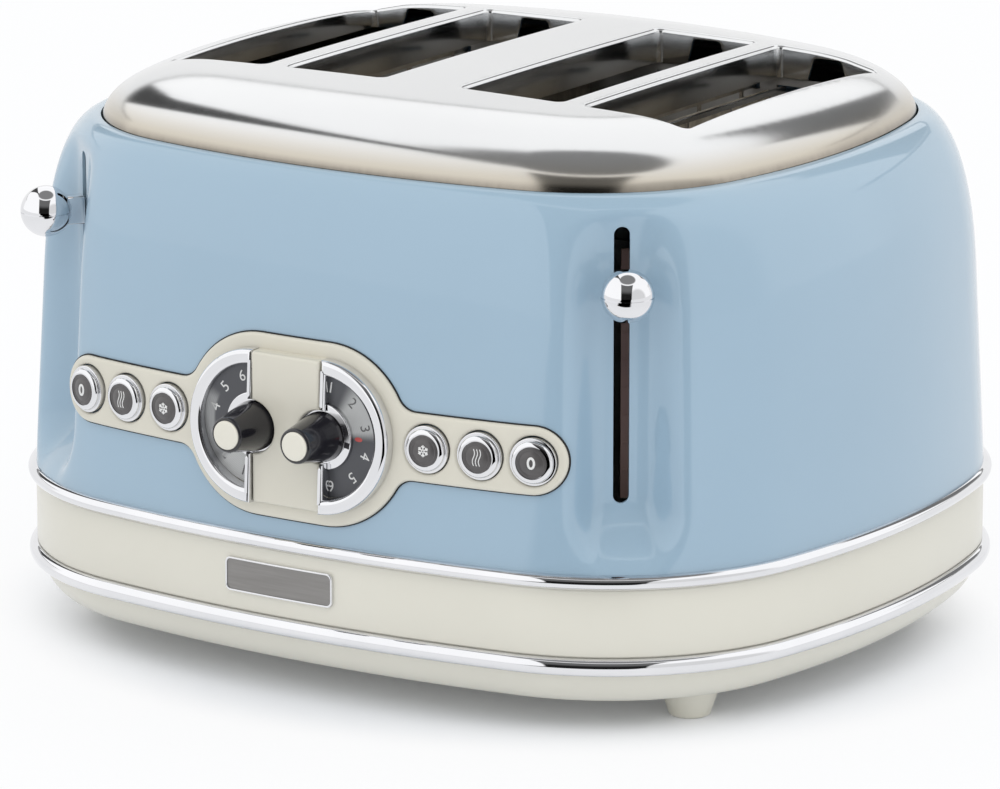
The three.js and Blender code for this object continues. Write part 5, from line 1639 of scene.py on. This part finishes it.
def make_sign(k, sign, middle, out, flat):
    """A white zero, three wavy lines or a snowflake, lying on a button's face."""
    across = np.array((-out[1], out[0], 0.0))
    up = np.array((0.0, 0.0, 1.0))
    print_mesh = Mesh()

    def on_face(points):
        points = np.array(points)
        rise = flat + face_rise(np.hypot(points[:, 0], points[:, 1])) - SIGN_SINK
        return middle + points[:, :1] * across + points[:, 1:] * up + rise[:, None] * out

    if sign == "zero":
        ring = circle((0.0, 0.0), 1.0, 32) * (ZERO_HALF_WIDTH, ZERO_HALF_HEIGHT)
        tube(print_mesh, on_face(ring), ZERO_STROKE, 8, closed=True)
    elif sign == "heat":
        v = np.linspace(-HEAT_HALF_HEIGHT, HEAT_HALF_HEIGHT, 22)
        wave = HEAT_WAVE * np.sin(v / HEAT_HALF_HEIGHT * math.pi)
        for shift in (-HEAT_PITCH, 0.0, HEAT_PITCH):
            tube(print_mesh, on_face(np.column_stack((shift + wave, v))), HEAT_STROKE, 6)
    else:
        for i in range(FLAKE_ARMS):
            angle = math.pi / FLAKE_ARMS * (2 * i + 1)
            arm = np.array((math.cos(angle), math.sin(angle)))
            spoke = [arm * reach for reach in run(FLAKE_STROKE, FLAKE_REACH, 3)]
            tube(print_mesh, on_face(spoke), FLAKE_STROKE, 6)
            start = arm * FLAKE_TWIG_START
            for turn in (-FLAKE_TWIG_TURN, FLAKE_TWIG_TURN):
                twig = np.array((math.cos(angle + turn), math.sin(angle + turn)))
                tube(print_mesh, on_face([start, start + twig * FLAKE_TWIG]), FLAKE_STROKE, 6)
    print_mesh.piece(f"button_sign_{k}", f"push_{k}", ("white_print",), None)


# Levers

def lever_point(side, along, across, z):
    """A point by its distances out of a recess floor, across it and up."""
    out, over, foot = recess_frame(side)
    flat = foot + out * along + over * across
    return np.array((flat[0], flat[1], z))


def make_levers():
    """Each lever's ball, of two halves with a fine groove, and the arm that carries it."""
    half_groove = BALL_GROOVE / 2
    lift = math.asin(half_groove / BALL_RADIUS)
    upper = arc((0.0, 0.0), BALL_RADIUS, lift, math.pi / 2, 23)[:-1]
    lower = upper[::-1] * (1.0, -1.0)
    waist = BALL_RADIUS - BALL_GROOVE
    profile = [(0.0, -BALL_RADIUS), *lower, (waist, -half_groove),
               (waist, half_groove), *upper, (0.0, BALL_RADIUS)]
    for hand, side in HANDS:
        body = f"lever_{hand}"
        ball = Mesh()
        turned(ball, profile, lever_point(side, BALL_REACH, 0.0, BALL_Z), (0.0, 0.0, 1.0), 64)
        ball.piece(f"lever_ball_{hand}_chrome", body, ("chrome",), f"lever_ball_{hand}", 30.0)
        arm = Mesh()
        neck_end = BALL_REACH - BALL_RADIUS / 2
        lever_bar(arm, side, NECK_HALF_WIDTH, NECK_START, neck_end, NECK_HALF_HEIGHT, NECK_EDGE)
        arm_end = NECK_START + SEAT_GAP
        lever_bar(arm, side, ARM_HALF_WIDTH, -ARM_INNER, arm_end, NECK_HALF_HEIGHT - ARM_TRIM, ARM_EDGE)
        arm.piece(f"lever_arm_{hand}_chrome", body, ("chrome",), f"lever_arm_{hand}")


def lever_bar(mesh, side, half_width, start, end, half_height, edge):
    """A bar along a lever's arm with rounded long edges."""
    corner = (half_width - edge, half_height - edge)
    quarter = path(((half_width, 0.0),), arc(corner, edge, 0.0, math.pi / 2, 5), ((0.0, half_height),))
    loop = four_ways(quarter)
    mesh.bar([[lever_point(side, along, a, BALL_Z + v) for a, v in loop] for along in (start, end)])


def make_lift_springs():
    """Coils under the bread carriages, each with its own mesh; on the toaster they press together as a lever
    goes down.
    """
    for hand, _ in HANDS:
        low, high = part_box(f"lift_spring_{hand}")
        coil = Mesh()
        share = np.linspace(0.0, 1.0, SPRING_TURNS * SPRING_STEPS + 1)
        angles = share * SPRING_TURNS * 2 * math.pi
        radius = (high.x - low.x) / 2 - SPRING_WIRE
        line = np.column_stack(((low.x + high.x) / 2 + radius * np.cos(angles),
                                (low.y + high.y) / 2 - CENTRE_Y + radius * np.sin(angles),
                                low.z + SPRING_WIRE + (high.z - low.z - 2 * SPRING_WIRE) * share))
        tube(coil, line, SPRING_WIRE, 10)
        spring = coil.piece(f"lift_spring_{hand}_wire", "housing", ("bright_wire",), f"lift_spring_{hand}")
        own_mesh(spring)


def make_lever_guides():
    """A dark toothed guide beside each lever's arm, seen through its slot."""
    low, high = LEVER_SLOT_BOTTOM - OVERRUN, LEVER_SLOT_TOP - GUIDE_TOP_DROP
    first, last = GUIDE_ACROSS
    for hand, side in HANDS:
        guide = Mesh()
        for near, far, inner, bottom, top in guide_blocks(low, high):
            corners = ((first + inner, -near), (last, -near), (last, -far), (first + inner, -far))
            guide.bar([[lever_point(side, along, side * across, z) for across, along in corners]
                       for z in (bottom, top)])
        guide.piece(f"lever_guide_{hand}", "housing", ("guide_brown",), None)


def guide_blocks(low, high):
    """The guide's plate and its teeth: depths behind the recess floor, set-back, bottom and top."""
    blocks = [(GUIDE_DEPTH, GUIDE_DEPTH + GUIDE_THICKNESS, 0.0, low, high)]
    for z in np.arange(low + GUIDE_PITCH, high, GUIDE_PITCH):
        blocks.append((GUIDE_DEPTH - GUIDE_TOOTH, GUIDE_DEPTH - HAIR_GAP, GUIDE_TOOTH, z, z + GUIDE_TOOTH))
    return blocks


# Badge

def make_badge():
    """A bare plate with a bright rim on the front of the band."""
    def on_band(proud):
        def place(points):
            return np.array([(x, BODY.front_at(x, proud)[0], BADGE_Z + v) for x, v in points])
        return place

    def outline(half_width, half_height, corner):
        def loop(grow):
            w, h = half_width + grow, half_height + grow
            c = corner + grow
            quarter = path(run((w, 0.0), (w, h - c), 2), arc((w - c, h - c), c, 0.0, math.pi / 2, 6),
                           run((w - c, h), (0.0, h), 6))
            return four_ways(quarter) + (BADGE_X, 0.0)
        return loop

    rim = Mesh()
    outer = outline(BADGE_HALF_WIDTH, BADGE_HALF_HEIGHT, BADGE_CORNER)
    inner = outline(BADGE_HALF_WIDTH - BADGE_RIM, BADGE_HALF_HEIGHT - BADGE_RIM, BADGE_CORNER - BADGE_RIM / 2)
    pressed(rim, outer, [inner], soft_edged(on_band, BED_GAP, BADGE_RISE, BADGE_EDGE))
    rim.piece("badge_rim", "housing", ("chrome",), None)
    face = Mesh()
    steps = [(0.0, on_band(BED_GAP)), (0.0, on_band(BADGE_FACE_RISE))]
    pressed(face, lambda grow: inner(grow - SKIN_GAP), [], steps, BADGE_SPACING)
    face.piece("badge_plate_bare", "housing", ("badge_face",), None)


# What stays from the frame

CARRIED = {
    "inner_steel": ("inner_frame_front", "inner_frame_back",
                    *(f"{part}_{hand}" for part in ("bread_carriage", "latch_magnet", "crumb_tray")
                      for hand, _ in HANDS)),
    "bright_wire": tuple(name for hand, _ in HANDS
                         for name in (f"guide_rod_{hand}", f"guards_{hand}_a", f"guards_{hand}_b")),
    "mica": tuple(f"heater_card_{k}" for k in range(1, CARD_COUNT + 1)),
    "board_green": ("control_board",),
}


def dress_carried_nodes():
    """Gives the CAD nodes that stay their finishes."""
    for material, names in CARRIED.items():
        for name in names:
            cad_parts[name].material_slots[0].material = FINISH[material]


make_body_shell()
make_top_cap()
make_trims()
make_base_band()
make_base_pan()
make_feet()
make_gland()
make_control_plate()
make_dials()
make_red_mark()
make_knobs()
make_buttons()
make_levers()
make_lift_springs()
make_lever_guides()
make_badge()
make_base_screws()
make_heater_ribbons()
dress_carried_nodes()


# Light, floor and camera

def seen_in_gloss(finish):
    """1 where a ray comes off gloss or through glass."""
    rays = [finish.node("ShaderNodeLightPath", output=f"Is {kind} Ray")
            for kind in ("Glossy", "Transmission")]
    return (rays[0] + rays[1]).between(0.0, 1.0)


def spread(value, low, high, soft=SOFT):
    """1 from low to high, with soft edges outside."""
    return value.between(low - soft, low) * (1 - value.between(high, high + soft))


def towards(parts, direction):
    """How far a place or direction, given by its parts, lies towards another direction."""
    total = parts[0] * direction[0]
    for part, share in zip(parts[1:], direction[1:]):
        total = total + part * share
    return total


def make_world():
    """A white room as the chrome shows it, white to the camera, and a plain level for everything else."""
    world = bpy.data.worlds.new("studio")
    bpy.context.scene.world = world
    world.use_nodes = True
    sky = Finish("studio", world.node_tree)
    x, y, z = sky.split(sky.node("ShaderNodeTexCoord", output="Generated"))
    camera = sky.node("ShaderNodeLightPath", output="Is Camera Ray")
    gloss = seen_in_gloss(sky)
    right = towards((x, y), RIGHT_TOWARDS).between(*RIGHT_EDGE)
    behind = towards((x, y), BEHIND_TOWARDS).between(*BEHIND_EDGE)
    seam = behind * spread(z, SEAM_Z - SEAM_HALF, SEAM_Z + SEAM_HALF, SEAM_HALF / 2)
    back_gap = spread(x, -BACK_GAP_HALF, BACK_GAP_HALF) * y.between(0.0, SOFT)
    beam_half = BEAM_HALF + BEAM_SPREAD * (1 - x.between(BEAM_SPREAD_TO, BEAM_SPREAD_FROM))
    beam_off = sky.math("ABSOLUTE", towards((x, y, z), BEAM_NORMAL)) - beam_half
    beam = (1 - beam_off.between(-SOFT, 0.0)) * (1 - x.between(BEAM_RIGHT_END, BEAM_RIGHT_END + SOFT))
    doorway = spread(towards((x, y), DOORWAY_ACROSS), -DOORWAY_HALF, DOORWAY_HALF)
    doorway = doorway * towards((x, y), DOORWAY_TOWARDS).between(0.0, SOFT)
    door_level = DOORWAY_LEVEL + (DOORWAY_HIGH_LEVEL - DOORWAY_LEVEL) * z.between(*DOORWAY_LIGHTER)
    parts = (
        (right, RIGHT_LEVEL),
        (behind * (1 - z.between(SEAM_Z - SOFT, SEAM_Z)), BEHIND_LEVEL),
        (seam, SEAM_LEVEL),
        (back_gap * spread(z, BACK_GAP_LOW, BACK_GAP_HIGH), BACK_GAP_LEVEL),
        (beam * z.between(SEAM_Z, SEAM_Z + SOFT), BEAM_LEVEL),
        (doorway * (1 - z.between(DOORWAY_TOP, DOORWAY_TOP + SOFT)), door_level),
        (z.between(CEILING_START, CEILING_END), CEILING_LEVEL),
    )
    room = ROOM_LEVEL
    for share, strength in parts:
        room = room * (1 - share) + share * strength
    plain = PLAIN_LEVEL + PLAIN_RISE * z
    background = world.node_tree.nodes["Background"]
    sky.put(background.inputs["Color"], (1.0, 1.0, 1.0, 1.0))
    sky.put(background.inputs["Strength"], camera + gloss * room + (1 - camera - gloss) * plain)


def make_floor():
    """A pale floor that keeps the shadow, whitened to the camera and dark in gloss where the room is."""
    finish = Finish("floor_white", Roughness=0.6)
    finish.set("Base Color", finish.mix(finish.noise(2.0), paint(240, 243, 249), paint(245, 248, 253)))
    x, y, _ = finish.split(finish.place())
    camera = finish.node("ShaderNodeLightPath", output="Is Camera Ray")
    gloss = seen_in_gloss(finish)
    across = finish.math("ABSOLUTE", towards((x, y), DOORWAY_ACROSS))
    along = towards((x, y), DOORWAY_TOWARDS)
    doorway = along.between(DOORWAY_START - SOFT, DOORWAY_START)
    doorway = doorway * (1 - (across - along * DOORWAY_HALF).between(-SOFT, SOFT))
    away = finish.math("SQRT", x * x + y * y).between(FLOOR_GREY_START, FLOOR_GREY_FULL)
    grey = 1 - (1 - FLOOR_GREY) * away
    level = camera + gloss * grey * (1 - doorway)
    tone = finish.mix(level, paint(0, 0, 0), paint(255, 255, 255))
    glow = finish.node("ShaderNodeEmission", None, {"Color": tone})
    # Less white glow in an oval under the toaster, so the floor there is darker: partly the rendered shadow,
    # partly painted shade
    beside, before = x * (1 / BODY.half_width), y * (1 / BODY.half_depth)
    clear = finish.math("SQRT", beside * beside + before * before).between(*FLOOR_BELOW)
    white = FLOOR_WHITE_BELOW + (FLOOR_WHITE - FLOOR_WHITE_BELOW) * clear
    share = camera * white + gloss * (white + (1 - white) * doorway)
    mixed = finish.node("ShaderNodeMixShader", None, {0: share, 2: glow})
    finish.tree.links.new(finish.shader.outputs["BSDF"], mixed.socket.node.inputs[1])
    finish.tree.links.new(mixed.socket, finish.tree.nodes["Material Output"].inputs["Surface"])
    floor = Mesh()
    half = FLOOR_HALF
    corners = floor.add(((-half, -half, 0.0), (half, -half, 0.0), (half, half, 0.0), (-half, half, 0.0)))
    floor.face(corners)
    data = floor.data("floor")
    data.materials.append(finish.material)
    linked("floor", data)


def make_lamp():
    """One soft key light, which doesn't show in reflections."""
    light = bpy.data.lights.new("key_softbox", "AREA")
    light.shape = "RECTANGLE"
    light.size, light.size_y = KEY_WIDTH, KEY_HEIGHT
    light.energy = KEY_POWER
    lamp = linked("key_softbox", light)
    lamp.location = KEY_PLACE
    lamp.rotation_euler = (Vector(KEY_TARGET) - Vector(KEY_PLACE)).to_track_quat("-Z", "Y").to_euler()
    lamp.visible_glossy = False


def make_camera():
    """The camera that took the photograph."""
    camera = bpy.data.cameras.new("camera")
    camera.sensor_width = SENSOR_WIDTH
    camera.lens = FOCAL_PIXELS * SENSOR_WIDTH / IMAGE_WIDTH
    camera.clip_end = CLIP_END
    made = linked("camera", camera)
    flat = math.cos(CAMERA_ELEVATION)
    direction = Vector((math.sin(CAMERA_AZIMUTH) * flat, -math.cos(CAMERA_AZIMUTH) * flat,
                        math.sin(CAMERA_ELEVATION)))
    made.location = AIM + direction * CAMERA_DISTANCE
    made.rotation_euler = (-direction).to_track_quat("-Z", "Y").to_euler()
    bpy.context.scene.camera = made


make_world()
make_floor()
make_lamp()
make_camera()
bpy.context.scene.view_settings.view_transform = "Standard"
